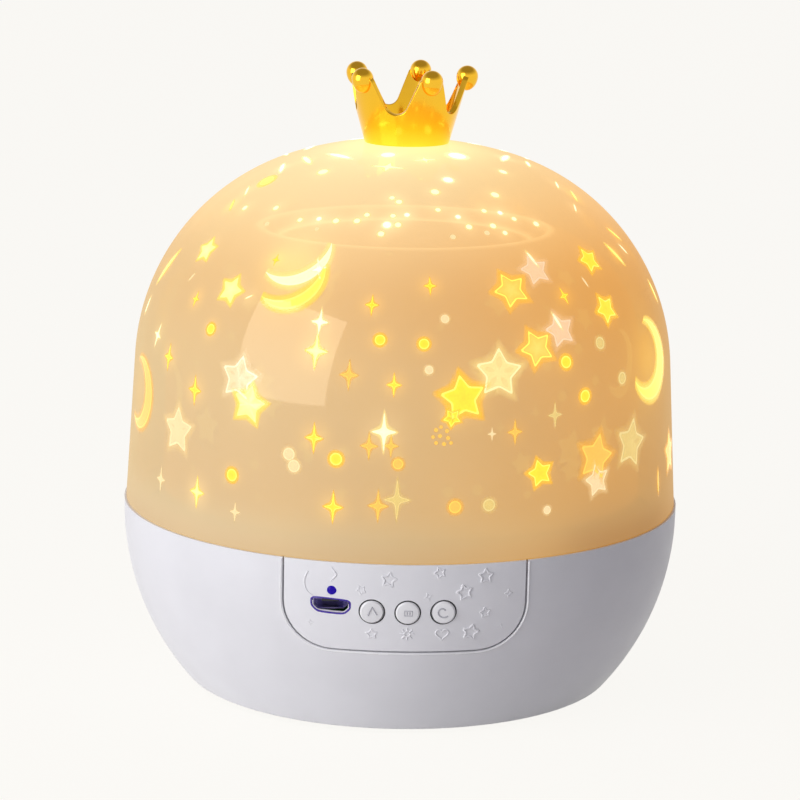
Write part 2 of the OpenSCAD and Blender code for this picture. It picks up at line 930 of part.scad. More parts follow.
module turntable() {
    seat_r = drum_r - drum_wall / cos(drum_draft) - 0.2;
    color("white") {
        difference() {
            union() {
                rotate_extrude()
                    polygon([
                        [journal_r + run_gap, hub_z], [hub_r, hub_z], [hub_r, table_z],
                        [drum_r + 0.5, table_z], [drum_r + 0.5, drum_z], [seat_r, drum_z],
                        [seat_r, table_top + 1], [seat_r - 1.2, table_top + 1], [seat_r - 1.2, table_top],
                        [hub_r, table_top], [hub_r, hub_top], [journal_r + run_gap, hub_top]
                    ]);
                // stiffening ribs under the plate, clear of the pinion
                for (a = [0:30:330])
                    rotate([0, 0, a])
                        translate([shaft_y + pinion_pitch_r + gear_module + 2, -0.7, table_z - 1.4])
                            cube([drum_r - shaft_y - pinion_pitch_r - gear_module - 3, 1.4, 1.4 + eps]);
                // spigot and pegs that carry the ring gear
                ring(gear_bore_r - seat_gap, gear_bore_r - 1.2, table_z - 2, 2 + eps);
            }
            // holes that let the plate cool
            for (a = [30:60:330])
                rotate([0, 0, a])
                    translate([(gear_pitch_r + drum_r) / 2, 0, table_z - 2])
                        cylinder(r = 4, h = 5);
        }
    }
}

module ring_gear() {
    color("ivory")
        difference() {
            translate([0, 0, gear_z])
                rotate([0, 0, 90])
                    linear_extrude(height = gear_face)
                        gear_outline(drum_teeth);
            rod(gear_bore_r, gear_z - 1, table_z + 1);
        }
}

module star_drum() {
    bore_r = disc_r + 0.25;
    crest_a = acos((crest[0] - drum_c[0]) / drum_round);
    color("moccasin", 0.6)
        rotate_extrude()
            polygon(concat(
                [[drum_r, drum_z]],
                arc(drum_c, drum_round, drum_draft, crest_a, 16),
                [[bore_r, disc_top], [bore_r, disc_z], [disc_r - drum_ledge, disc_z]],
                [[disc_r - drum_ledge, disc_z - drum_ledge_t], [bore_r + drum_wall, disc_z - drum_ledge_t]],
                reversed(arc(drum_c, drum_round - drum_wall, drum_draft, crest_a - 2, 16)),
                [[drum_r - drum_wall / wall_n[0], drum_z]]
            ));
}

module star_disc() {
    color("moccasin", 0.6)
        rod(disc_r, disc_z, disc_top);
}

module lamp_head() {
    color("white")
        difference() {
            rotate_extrude()
                polygon([
                    [wire_r - 1.5, head_z], [post_neck_r + seat_gap, head_z],
                    [post_neck_r + seat_gap, head_z - 6], [journal_r + 1.6, head_z - 6],
                    [journal_r + 1.6, head_z - 2.5], [lamp_head_r - 1, head_z],
                    [lamp_head_r, head_z], [lamp_head_r, lamp_z + 1.4],
                    [lamp_head_r - 0.5, lamp_z + 1.4], [lamp_head_r - 0.5, lamp_z],
                    [wire_r - 1.5, lamp_z]
                ]);
        }
}

module led_board() {
    color("white")
        ring(led_board_r, 1.5, lamp_z, led_board_t);
}

module led_chips() {
    color("lightyellow")
        for (a = [45:90:315])
            rotate([0, 0, a])
                translate([led_board_r * 0.45 - chip / 2, -chip / 2, lamp_z + led_board_t])
                    cube([chip, chip, chip_t]);
}

module lamp_lens() {
    color("white", 0.5)
        rotate_extrude()
            polygon(concat(
                [[lens_r - lens_wall, lamp_z], [lens_r + lens_flange, lamp_z]],
                [[lens_r + lens_flange, lamp_z + 1.2], [lens_r, lamp_z + 1.2]],
                [for (p = arc([0, lamp_z + 2], lens_r, 0, 90, 14)) [max(p[0], 0), p[1]]],
                [for (p = arc([0, lamp_z + 2], lens_r - lens_wall, 90, 0, 14)) [max(p[0], 0), p[1]]]
            ));
}

// ---- dome and crown ----

module outer_dome() {
    bead = rim_r;
    color("navajowhite", 0.5)
        difference() {
            rotate_extrude()
                polygon(concat(
                    [[crown_hole_r, crown_z]],
                    dome_line(0, crown_seat_r),
                    [[dome_at(dome_z + 4.6, 0), dome_z + 4.6], [bead, dome_z + 2.6]],
                    [[bead, dome_z + 0.8], [bead - 0.25, dome_z]],
                    [[spigot_r, dome_z], [spigot_r, spigot_foot]],
                    [[spigot_r - spigot_t, spigot_foot], [spigot_r - spigot_t, dome_z + 1.5]],
                    [[dome_at(dome_z + 3, dome_wall), dome_z + 3]],
                    reversed(dome_line(dome_wall, pad_r)),
                    [[pad_r - 0.4, pad_z], [crown_hole_r, pad_z]]
                ));
            // slots that drop over the keys of the base
            for (a = key_angles)
                rotate([0, 0, a])
                    translate([spigot_r - spigot_t - 1, -key_w / 2 - slide_gap, spigot_foot - 1])
                        cube([spigot_t + 2, key_w + 2 * slide_gap, spigot_h + 1 - slide_gap]);
        }
}

// What is cut away between two points: a round valley whose flanks run up to the tips,
// and above that the outside of the round tips
module valley_outline() {
    half_angle = 180 / crown_points;
    tip = tip_r * cos(half_angle); // a tip's half width, seen square to the valley
    tip_x = (crown_d / 2 + crown_flare * ball_z - crown_wall / 2) * sin(half_angle);
    flank = tip_x - tip;
    round_tip = concat(
        [for (a = [0:15:90]) [tip_x - tip * cos(a), ball_z + tip_r * sin(a)]],
        [[tip_x, crown_h + 1]]
    );
    hull() {
        translate([0, valley_h + valley_r])
            circle(r = valley_r, $fn = 40);
        translate([-flank, ball_z])
            square([2 * flank, eps]);
    }
    polygon(concat(round_tip, [for (p = reversed(round_tip)) [-p[0], p[1]]]));
}

module at_points() {
    for (k = [0:crown_points - 1])
        rotate([0, 0, first_point + k * 360 / crown_points])
            children();
}

// A ball on the outside of a point, with a smaller swelling under it
module ball() {
    translate([ball_ring, 0, ball_z])
        hull() {
            sphere(r = ball_r, $fn = 28);
            translate([-crown_flare * swell_drop - 0.5, 0, -swell_drop])
                sphere(r = swell_r, $fn = 20);
        }
}

module crown() {
    foot_r = crown_d / 2;
    boss_z = -dome_wall - 0.3;
    color("gold")
        translate([0, 0, crown_z]) {
            difference() {
                union() {
                    difference() {
                        cylinder(r1 = foot_r, r2 = foot_r + crown_flare * crown_h, h = crown_h, $fn = 90);
                        rotate([0, 0, 180 / crown_points])
                            at_points()
                                rotate([90, 0, 90])
                                    linear_extrude(height = crown_d)
                                        valley_outline();
                    }
                    at_points()
                        ball();
                }
                translate([0, 0, crown_floor])
                    cylinder(
                        r1 = foot_r - crown_wall + crown_flare * crown_floor,
                        r2 = foot_r - crown_wall + crown_flare * (crown_floor + crown_h),
                        h = crown_h, $fn = 90
                    );
                rod(pilot_r, -1, crown_floor - 0.6);
            }
            // boss that stands in the dome's hole
            difference() {
                rod(screw_boss_r, boss_z, eps);
                rod(pilot_r, boss_z - 1, 1);
            }
        }
}

module crown_screw() {
    color("silver")
        translate([0, 0, pad_z])
            pan_screw(pilot_r - seat_gap, dome_wall + 0.9, 5, 1.8);
}

base_shell();
bottom_cover();
case_screws();
rubber_feet();
control_panel();
button_left();
button_middle();
button_right();
plunger_left();
plunger_middle();
plunger_right();
tact_switches();
control_board();
board_screws();
usb_socket();
usb_tongue();
charge_led();
light_pipe();
battery();
battery_cradle();
battery_strap();
deck();
deck_screws();
gear_motor();
motor_screws();
motor_shaft();
drive_pinion();
lamp_post();
post_screws();
thrust_washer();
retaining_ring();
turntable();
ring_gear();
star_drum();
star_disc();
lamp_head();
led_board();
led_chips();
lamp_lens();
outer_dome();
crown();
crown_screw();
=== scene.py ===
import json
from math import acos, atan, atan2, ceil, cos, degrees, dist, pi, radians, sin, sqrt, tan

import bpy
import numpy as np
from mathutils import Matrix, Vector


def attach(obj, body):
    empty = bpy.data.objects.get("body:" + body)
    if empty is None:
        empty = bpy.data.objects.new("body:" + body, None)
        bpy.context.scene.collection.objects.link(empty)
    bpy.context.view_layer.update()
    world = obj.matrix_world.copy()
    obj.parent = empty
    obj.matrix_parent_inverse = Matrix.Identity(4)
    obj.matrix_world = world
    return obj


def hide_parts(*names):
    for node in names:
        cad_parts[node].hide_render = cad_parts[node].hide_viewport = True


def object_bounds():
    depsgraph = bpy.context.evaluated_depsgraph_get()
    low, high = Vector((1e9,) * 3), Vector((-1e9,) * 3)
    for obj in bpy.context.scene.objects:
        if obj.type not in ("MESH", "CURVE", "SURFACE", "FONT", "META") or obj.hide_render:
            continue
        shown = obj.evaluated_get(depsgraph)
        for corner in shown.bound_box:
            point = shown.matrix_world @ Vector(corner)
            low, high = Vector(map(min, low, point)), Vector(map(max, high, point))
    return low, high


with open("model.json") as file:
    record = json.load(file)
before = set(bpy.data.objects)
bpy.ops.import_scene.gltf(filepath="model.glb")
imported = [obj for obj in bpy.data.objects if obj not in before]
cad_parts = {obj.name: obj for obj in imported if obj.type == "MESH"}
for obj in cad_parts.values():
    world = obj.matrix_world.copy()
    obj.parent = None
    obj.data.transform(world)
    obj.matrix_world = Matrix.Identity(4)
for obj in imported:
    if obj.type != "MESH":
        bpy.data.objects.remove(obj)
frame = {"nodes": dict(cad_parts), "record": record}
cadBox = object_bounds()
nodes = frame["nodes"]
mm = 0.001
fineMerge = 0.000001  # how near two points of a small piece merge
fullTurn = 2 * pi
halves = (0, pi)  # every shape stands again half a turn round


def newObject(name, data):
    made = bpy.data.objects.new(name, data)
    bpy.context.scene.collection.objects.link(made)
    return made


def turnZ(turn):
    return Matrix.Rotation(turn, 4, "Z")


def unit(turn):
    return Vector((cos(turn), sin(turn)))


def around(count):
    # even turns round a circle
    return [fullTurn * i / count for i in range(count)]


cameraShape = {
    "distance": 0.7, "elevation": 11.884, "roll": 1.061,
    "turn": -1.3,  # seen from a little to the left of the panel
    "aimX": -0.000454, "aimZ": 0.065719,
    "lens": 133.914, "sensor": 36, "frameWidth": 800, "nearest": 0.01,
}


def makeCamera(s):
    data = bpy.data.cameras.new("camera")
    data.lens, data.sensor_width, data.clip_start = s["lens"], s["sensor"], s["nearest"]
    eye = newObject("camera", data)
    up = radians(s["elevation"])
    seat = Matrix.Translation((s["aimX"], -s["distance"] * cos(up), s["aimZ"] + s["distance"] * sin(up)))
    tip = Matrix.Rotation(pi / 2 - up, 4, "X") @ turnZ(radians(s["roll"]))
    eye.matrix_world = turnZ(radians(s["turn"])) @ seat @ tip
    bpy.context.scene.camera = eye
    return eye


camera = makeCamera(cameraShape)


def sightLine(x, y):
    # where the line through a point of the 800 by 800 frame starts and runs
    half = cameraShape["frameWidth"] / 2
    reach = cameraShape["sensor"] / 2 / cameraShape["lens"]
    ahead = Vector(((x - half) / half * reach, (half - y) / half * reach, -1))
    turn = camera.matrix_world.to_3x3()
    return camera.matrix_world.translation.copy(), (turn @ ahead).normalized()


def pickNone():
    if bpy.context.object and bpy.context.object.mode != "OBJECT":
        mode("OBJECT")
    bpy.ops.object.select_all(action="DESELECT")


def pickOnly(*pieces):
    pickNone()
    for piece in pieces:
        piece.select_set(True)
    bpy.context.view_layer.objects.active = pieces[0]


def mode(kind):
    bpy.ops.object.mode_set(mode=kind)


def edit(kind, action="SELECT"):
    mode("EDIT")
    bpy.ops.mesh.select_mode(type=kind)
    bpy.ops.mesh.select_all(action=action)


def pickWhere(piece, kind, test):
    # picks the faces or points that pass, and stays in edit mode
    edit(kind, "DESELECT")
    mode("OBJECT")
    for item in piece.data.polygons if kind == "FACE" else piece.data.vertices:
        item.select = bool(test(item))
    mode("EDIT")


def closeUp(threshold=0.00001):
    # merges doubles and turns every face outwards
    bpy.ops.mesh.select_all(action="SELECT")
    bpy.ops.mesh.remove_doubles(threshold=threshold)
    bpy.ops.mesh.normals_make_consistent(inside=False)
    mode("OBJECT")


def smooth(piece, degrees=35):
    pickOnly(piece)
    bpy.ops.object.shade_smooth_by_angle(angle=radians(degrees))


def applyAll(piece):
    pickOnly(piece)
    for step in list(piece.modifiers):
        bpy.ops.object.modifier_apply(modifier=step.name)


def begin(name, add, **values):
    # a new piece from one of Blender's own starts
    pickNone()
    add(**values)
    piece = bpy.context.object
    piece.name = piece.data.name = name
    return piece


def startPoint(name, place):
    # one vertex to extrude from
    piece = begin(name, bpy.ops.mesh.primitive_plane_add, size=0.01)
    edit("VERT")
    bpy.ops.mesh.merge(type="CENTER")
    bpy.ops.transform.translate(value=place)
    return piece


def copyOf(piece, seat, name):
    # a copy with a mesh of its own, moved to its seat
    mesh = piece.data.copy()
    mesh.transform(seat)
    return newObject(name, mesh)


def paintOver(piece, *paints):
    piece.data.materials.clear()
    for paint in paints:
        piece.data.materials.append(paint)


def lathe(name, line, steps, closed=True):
    # spins an outline of radius and height, in mm, round the upright axis
    start = Vector((line[0][0], 0, line[0][1])) * mm
    piece = startPoint(name, start)
    ends = line[1:] + line[:1] if closed else line[1:]
    for a, b in zip(line, ends):
        move = Vector((b[0] - a[0], 0, b[1] - a[1])) * mm
        bpy.ops.mesh.extrude_region_move(TRANSFORM_OT_translate={"value": move})
    bpy.ops.mesh.select_all(action="SELECT")
    bpy.ops.mesh.spin(steps=steps, angle=fullTurn, center=(0, 0, 0), axis=(0, 0, 1))
    closeUp()
    smooth(piece)
    return piece


def arc(centre, radius, first, last, steps):
    # points on an arc, in mm, between two angles in degrees
    turns = [radians(first + (last - first) * i / steps) for i in range(steps + 1)]
    return [(centre[0] + radius * cos(t), centre[1] + radius * sin(t)) for t in turns]


def divide(a, b, gap):
    # points from a up to b, without b, no further apart than the gap
    count = max(1, ceil(dist(a, b) / gap))
    return [(a[0] + (b[0] - a[0]) * i / count, a[1] + (b[1] - a[1]) * i / count) for i in range(count)]


def denser(line, gap):
    points = []
    for a, b in zip(line, line[1:]):
        points += divide(a, b, gap)
    return points + [line[-1]]


def points(piece):
    flat = np.empty(len(piece.data.vertices) * 3)
    piece.data.vertices.foreach_get("co", flat)
    return flat.reshape(-1, 3)


def maths(operation, flipped=False):
    # an operator between a wire and another wire or a number
    def joined(one, other):
        ends = (other, one) if flipped else (one, other)
        return one.paint.node("Math", {"operation": operation}, dict(enumerate(ends)))

    return joined


class Wire:
    # the output of a shader node, which takes part in sums
    def __init__(self, paint, socket):
        self.paint, self.socket = paint, socket

    __add__ = __radd__ = maths("ADD")
    __mul__ = __rmul__ = maths("MULTIPLY")
    __sub__, __rsub__ = maths("SUBTRACT"), maths("SUBTRACT", True)
    __pow__ = maths("POWER")
    least, most = maths("MINIMUM"), maths("MAXIMUM")


class Paint:
    # one material, or the world, and what makes its nodes
    def __init__(self, name, world=False):
        self.owner = (bpy.data.worlds if world else bpy.data.materials).new(name)
        self.owner.use_nodes = True
        self.end = "World" if world else "Material"
        self.tree = self.owner.node_tree
        self.tree.nodes.clear()

    def node(self, kind, settings=None, sockets=None, out=0):
        made = self.tree.nodes.new("ShaderNode" + kind)
        for key, value in (settings or {}).items():
            if key == "stops":
                ramp = made.color_ramp
                ramp.elements.remove(ramp.elements[1])
                ramp.elements[0].position, ramp.elements[0].color = value[0]
                for place, colour in value[1:]:
                    ramp.elements.new(place).color = colour
            else:
                setattr(made, key, value)
        for key, value in (sockets or {}).items():
            if isinstance(value, Wire):
                self.tree.links.new(value.socket, made.inputs[key])
            else:
                made.inputs[key].default_value = value
        return Wire(self, made.outputs[out])

    def place(self):
        return self.node("TexCoord", out="Object")

    def axis(self, letter):
        return self.node("SeparateXYZ", None, {0: self.place()}, letter)

    def layer(self, name, out=0):
        # a colour kept on the mesh
        return self.node("Attribute", {"attribute_name": name}, out=out)

    def ray(self, kind):
        return self.node("LightPath", out="Is %s Ray" % kind)

    def noise(self, scale, detail=2, where=None):
        return self.node("TexNoise", None, {"Vector": where or self.place(), "Scale": scale, "Detail": detail})

    def mix(self, share, a, b, blend="MIX"):
        return self.node("Mix", {"data_type": "RGBA", "blend_type": blend}, {0: share, 6: a, 7: b}, 2)

    def times(self, colour, value):
        return self.mix(1, colour, self.node("CombineColor", None, {0: value, 1: value, 2: value}), "MULTIPLY")

    def ramp(self, value, *stops):
        return self.node("ValToRGB", {"stops": stops}, {0: value})

    def between(self, value, low, high, start=0, end=1):
        return self.node("MapRange", None, {0: value, 1: low, 2: high, 3: start, 4: end})

    def spread(self, noise, start=0, end=1):
        # most of a noise lies between these two
        return self.between(noise, 0.3, 0.7, start, end)

    def bump(self, height, distance, strength=1):
        return self.node("Bump", None, {"Height": height, "Distance": distance, "Strength": strength}, "Normal")

    def principled(self, sockets, light=None, strength=1):
        if light:
            sockets = {**sockets, "Emission Color": light, "Emission Strength": strength}
        return self.node("BsdfPrincipled", None, sockets)

    def clear(self, colour=(1, 1, 1, 1)):
        return self.node("BsdfTransparent", None, {"Color": colour})

    def blend(self, share, a, b):
        return self.node("MixShader", None, {0: share, 1: a, 2: b})

    def finish(self, shader):
        end = self.tree.nodes.new("ShaderNodeOutput" + self.end)
        self.tree.links.new(shader.socket, end.inputs["Surface"])
        return self.owner

    def coat(self, *values):
        return self.finish(self.principled(*values))

    def polished(self, under, slant, least, colour, roughness):
        # a clear shine over a shader, stronger where the face is seen slantwise
        facing = self.node("LayerWeight", None, {"Blend": 0.5}, "Facing")
        shine = self.node("BsdfGlossy", None, {"Color": colour, "Roughness": roughness})
        return self.finish(self.blend(facing ** 4 * slant + least, under, shine))


def moulded(name, colour, roughness, grain=0.00001, shade=0.94):
    # moulded plastic: a faint drift in tone, and the fine texture of the mould
    p = Paint(name)
    tone = p.mix(p.between(p.noise(45, 3), 0.35, 0.75), colour + [1], [c * shade for c in colour] + [1])
    return p.coat({"Base Color": tone, "Roughness": p.spread(p.noise(160, 4), roughness - 0.04, roughness + 0.05),
                   "Normal": p.bump(p.noise(2600), grain), "IOR": 1.5})


def metal(name, colour, roughness, stretch):
    # plated sheet or turned steel, with fine lines along the way it was worked
    p = Paint(name)
    lines = p.noise(900, 3, p.node("Mapping", None, {"Vector": p.place(), "Scale": stretch}))
    tone = p.mix(p.spread(p.noise(220, 3)), colour + [1], [c * 0.8 for c in colour] + [1])
    return p.coat({"Base Color": tone, "Metallic": 1, "Normal": p.bump(lines, 0.00001, 0.6),
                   "Roughness": p.spread(lines, roughness - 0.08, roughness + 0.1)})


def boardGreen(name):
    # solder mask with paler tracks under it
    p = Paint(name)
    edges = p.node("TexVoronoi", {"feature": "DISTANCE_TO_EDGE", "distance": "MANHATTAN"},
                   {"Vector": p.place(), "Scale": 420})
    track = p.between(edges, 0.06, 0.09, 1, 0)
    return p.coat({"Base Color": p.mix(track, (0.012, 0.12, 0.045, 1), (0.03, 0.22, 0.08, 1)),
                   "Roughness": p.between(track, 0, 1, 0.32, 0.24), "Normal": p.bump(track, 0.00003)})


def glowing(name, colour, light, strength, shine=0.5):
    # clear plastic or phosphor with light behind it
    p = Paint(name)
    cloud = p.spread(p.noise(700), 0.82, 1)
    return p.coat({"Base Color": colour + [1], "Roughness": p.between(cloud, 0.82, 1, 0.2, 0.3),
                   "Specular IOR Level": shine}, p.mix(cloud, (0, 0, 0, 1), light + [1]), strength)


def clearPlastic(name):
    p = Paint(name)
    ripple = p.noise(300)
    return p.coat({"Base Color": (0.95, 0.95, 0.93, 1), "Transmission Weight": 1, "IOR": 1.49,
                   "Roughness": p.spread(ripple, 0.02, 0.08), "Normal": p.bump(ripple, 0.00002)})


finishes = {
    "white_shell": moulded("shellWhite", [0.86, 0.86, 0.885], 0.4),
    "white_panel": moulded("panelWhite", [0.91, 0.91, 0.935], 0.38),
    "white_button": moulded("buttonWhite", [0.96, 0.96, 0.97], 0.3, 0.000004),
    "steel": metal("zincSteel", [0.62, 0.62, 0.64], 0.3, (1, 1, 0.1)),
    "foot_rubber": moulded("footRubber", [0.022, 0.022, 0.024], 0.75, 0.00003, 0.7),
    "black_plastic": moulded("blackPlastic", [0.03, 0.03, 0.035], 0.5, 0.00002, 0.8),
    "tin_plate": metal("tinPlate", [0.72, 0.72, 0.74], 0.24, (0.1, 1, 1)),
    "circuit_board": boardGreen("solderMask"),
    "led_white": moulded("boardWhite", [0.9, 0.9, 0.87], 0.4),
    "blue_indicator": glowing("indicatorBlue", [0.01, 0.003, 0.16], [0.01, 0, 0.26], 0.9, 0.12),
    "cell_wrap": moulded("cellWrap", [0.03, 0.12, 0.42], 0.3, 0.00004, 0.8),
    "inner_plastic": moulded("innerWhite", [0.82, 0.82, 0.79], 0.5, 0.00002),
    "gear_plastic": moulded("acetal", [0.84, 0.82, 0.72], 0.36),
    "led_emitter": glowing("emitterWarm", [0.9, 0.75, 0.3], [1, 0.72, 0.25], 3),
    "clear_lens": clearPlastic("lensClear"),
}
slotOf = {row["node"]: row["material_slot"] for row in frame["record"]["subparts"]}
socketTin = metal("socketTin", [0.3, 0.27, 0.52], 0.3, (0.1, 1, 1))
for name, node in nodes.items():
    if slotOf.get(name) in finishes:
        for place in node.material_slots:
            place.material = socketTin if name == "usb_socket" else finishes[slotOf[name]]
print("finishes on the solids")

# tinted dome: a closed shell whose outer face is fine enough to carry soft spots of light
domeShape = {
    "seam": 43, "footRadius": 64.57, "draft": 3.48,
    "shoulder": (10.7945, 73.9121), "shoulderRound": 51.8,
    "cap": (0, 35.5), "capRound": 91.7, "capAngle": 74.3037,
    "wall": 2, "seatRadius": 10.05, "seatHeight": 126.648,
    "holeRadius": 3.7, "padRadius": 8, "padHeight": 124.25, "padEdge": 0.4,
    "edge": 0.25, "spigot": 62.3, "spigotBore": 60.3, "spigotFoot": 39.5, "boreTop": 44.5, "innerFoot": 46,
    "steps": 360, "fine": 1.15, "coarse": 2.4,
}


def domeSkin(s, inside, stopRadius, gap):
    # the dome's line from the top down to the top of its straight wall
    cap, shoulder = s["capRound"] - inside, s["shoulderRound"] - inside
    first = degrees(acos(stopRadius / cap))
    count = ceil(cap * radians(first - s["capAngle"]) / gap)
    line = arc(s["cap"], cap, first, s["capAngle"], count)
    count = ceil(shoulder * radians(s["capAngle"] - s["draft"]) / gap)
    return line[:-1] + arc(s["shoulder"], shoulder, s["capAngle"], s["draft"], count)


def domeWallAt(s, height, inside=0):
    lean = radians(s["draft"])
    return s["footRadius"] - (height - s["seam"]) * tan(lean) - inside / cos(lean)


def makeDome(s):
    seam, fine, coarse = s["seam"], s["fine"], s["coarse"]
    rim = seam + s["edge"]
    outer = domeSkin(s, 0, s["seatRadius"], fine)
    outer += denser([outer[-1], (domeWallAt(s, rim), rim)], fine)[1:] + [(s["footRadius"] - s["edge"], seam)]
    foot = [(s["spigot"], seam), (s["spigot"], s["spigotFoot"]), (s["spigotBore"], s["spigotFoot"]),
            (s["spigotBore"], s["boreTop"])]
    inner = domeSkin(s, s["wall"], s["padRadius"], coarse)
    inner += denser([inner[-1], (domeWallAt(s, s["innerFoot"], s["wall"]), s["innerFoot"])], coarse)[1:]
    top = [(s["padRadius"] - s["padEdge"], s["padHeight"]), (s["holeRadius"], s["padHeight"])]
    return lathe("domeShell", [(s["holeRadius"], s["seatHeight"])] + outer + foot + inner[::-1] + top, s["steps"])


dome = makeDome(domeShape)
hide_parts("outer_dome")
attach(dome, "cover")
print("dome", len(dome.data.polygons))

# printed shade: a straight wall, a round shoulder, a crest and a lip down to the plate
shadeShape = {
    "foot": (56.0595, 46.4), "wall": 1, "draft": 1.7,
    "round": (27.0514, 79.9527), "roundRadius": 28, "crestAngle": 76.685, "innerAngle": 74.685, "innerSteps": 10,
    "plateRadius": 29.2, "plateGap": 0.25, "plateFoot": 103.2, "plateTop": 104.2, "plateEdge": 0.2, "plateSteps": 200,
    "ledge": 2.2, "ledgeWall": 1.2,
    "steps": 400, "fine": 0.9, "coarse": 4,
}


def makeShade(s):
    fine, foot, wall, under = s["fine"], s["foot"], s["wall"], s["plateFoot"] - s["ledgeWall"]
    count = ceil(s["roundRadius"] * radians(s["crestAngle"] - s["draft"]) / fine)
    shoulder = arc(s["round"], s["roundRadius"], s["draft"], s["crestAngle"], count)
    outer = denser([foot, shoulder[0]], fine)[:-1] + shoulder
    bore, ledge = s["plateRadius"] + s["plateGap"], s["plateRadius"] - s["ledge"]
    lip = [(bore, s["plateTop"]), (bore, s["plateFoot"]), (ledge, s["plateFoot"]), (ledge, under), (bore + wall, under)]
    inner = arc(s["round"], s["roundRadius"] - wall, s["innerAngle"], s["draft"], s["innerSteps"])
    inner += denser([inner[-1], (foot[0] - wall, foot[1])], s["coarse"])[1:]
    return lathe("starShade", outer + denser([outer[-1], lip[0]], fine)[1:] + lip[1:] + inner, s["steps"])


def makePlate(s):
    radius, top, edge = s["plateRadius"], s["plateTop"], s["plateEdge"]
    line = denser([(0, top), (radius - edge, top)], s["fine"])
    line += [(radius, top - edge), (radius, s["plateFoot"]), (0, s["plateFoot"])]
    return lathe("starPlate", line, s["plateSteps"], closed=False)


shade = makeShade(shadeShape)
plate = makePlate(shadeShape)
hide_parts("star_drum")
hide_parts("star_disc")
for piece in (shade, plate):
    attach(piece, "turntable")
print("shade and plate", len(shade.data.polygons), len(plate.data.polygons))


def shadePaint():
    # milky film, lit from inside
    p = Paint("printedFilm")
    body = p.mix(p.spread(p.noise(28)), (0.46, 0.22, 0.028, 1), (0.56, 0.28, 0.04, 1))
    return p.coat({"Base Color": (0.42, 0.34, 0.27, 1), "Roughness": 0.5, "Specular IOR Level": 0.2},
                  p.mix(1, body, p.layer("glow"), "ADD"))


def domePaint():
    # outer face of the dome: a milky tinted layer that takes the light from inside, under a polished face
    p = Paint("amberMilk")
    # painted light and shade across the dome: its glow is paler on the left and deeper orange on the right
    across = p.ramp(p.between(p.axis("X"), -0.065, 0.065), (0.15, (0.575, 0.385, 0.112, 1)),
                    (0.5, (0.515, 0.328, 0.08, 1)), (0.85, (0.545, 0.302, 0.064, 1)))
    body = p.times(across, p.spread(p.noise(22), 0.95, 1.05))
    milk = p.principled({"Base Color": (0.25, 0.25, 0.25, 1), "Roughness": 0.6, "Specular IOR Level": 0},
                        p.mix(1, body, p.layer("glow"), "ADD"))
    cover = (p.layer("glow", "Alpha") + 0.76).least(1)
    under = p.blend(cover, p.clear((0.95, 0.8, 0.58, 1)), milk)
    return p.polished(under, 0.24, 0.036, (1, 0.84, 0.62, 1), 0.035)


def innerPaint():
    # inner face of the dome: clear
    p = Paint("amberClear")
    return p.polished(p.clear((0.985, 0.94, 0.86, 1)), 0.3, 0.03, (1, 0.9, 0.75, 1), 0.05)


def inkPaint():
    # painted light: the light thrown through the cut shapes, and the painted glints and highlights, each soft at its
    # rim
    p = Paint("starLight")
    return p.coat({"Base Color": (0.2, 0.15, 0.05, 1), "Roughness": 0.05, "Specular IOR Level": 0.5,
                   "Alpha": p.layer("ink", "Alpha")}, p.times(p.layer("ink"), p.spread(p.noise(1800), 0.96, 1.04)))


def paintGlow(piece, spots, rings):
    # painted light round each spot or ring, and painted shade where its colour is below nought: its place, its reach,
    # its colour and the milk it adds
    where = points(piece)
    out = np.hypot(where[:, 0], where[:, 1])
    total = np.zeros((len(where), 4))

    def add(away, reach, colour):
        total[:] += np.exp(-away / (2 * reach ** 2))[:, None] * np.array(colour)

    for place, reach, colour in spots:
        add(((where - np.array(place)) ** 2).sum(1), reach, colour)
    for radius, height, reach, colour in rings:
        add((where[:, 2] - height) ** 2 + (0 if radius is None else (out - radius) ** 2), reach, colour)
    piece.data.attributes.new("glow", "FLOAT_COLOR", "POINT").data.foreach_set("color", total.ravel())


film = shadePaint()
paintOver(shade, film)
paintOver(plate, film)
paintOver(dome, domePaint(), innerPaint())
for face in dome.data.polygons:
    out = face.center - Vector((0, 0, domeShape["cap"][1] * mm))
    face.material_index = int(face.normal.dot(out) < 0 and face.center.z > domeShape["seam"] * mm)

# cut shapes, each five rings from the soft edge inwards: halo, rim outside, rim inside, fill
cutShape = {
    "ringStep": 0.02,
    "starPoints": 5, "starTips": (1.42, 1, 0.985, 0.865, 0.85), "starNotches": (0.86, 0.53, 0.518, 0.452, 0.443),
    "sparkPoints": 4, "sparkTips": (1.25, 1, 0.985, 0.86, 0.84), "sparkNotches": (0.48, 0.22, 0.21, 0.165, 0.155),
    "starWide": 1, "starRounding": 0.16, "sparkWide": 0.64, "sparkRounding": 0.22,
    "dotSteps": (1.55, 1, 0.97, 0.8, 0.76), "dotSides": 20, "streakWide": 0.17, "streakGrow": 0.3,
    "moonSides": 48, "moonSteps": (0.17, 0, -0.012, -0.05, -0.07), "moonTaper": 0.15,
    "moonReach": 124, "moonThick": 0.52, "sickleReach": 84, "sickleThick": 0.33,
}


def rounded(corners, share):
    # three points for each corner, so that it is cut round
    line = []
    for i, corner in enumerate(corners):
        before = corner.lerp(corners[i - 1], share)
        after = corner.lerp(corners[(i + 1) % len(corners)], share)
        line += [before, (before + after + corner * 2) / 4, after]
    return line


def spikes(count, reach):
    # corners round a circle, from the top, with the reaches taken in turn
    return [unit(t + pi / 2) * reach[i % len(reach)] for i, t in enumerate(around(count))]


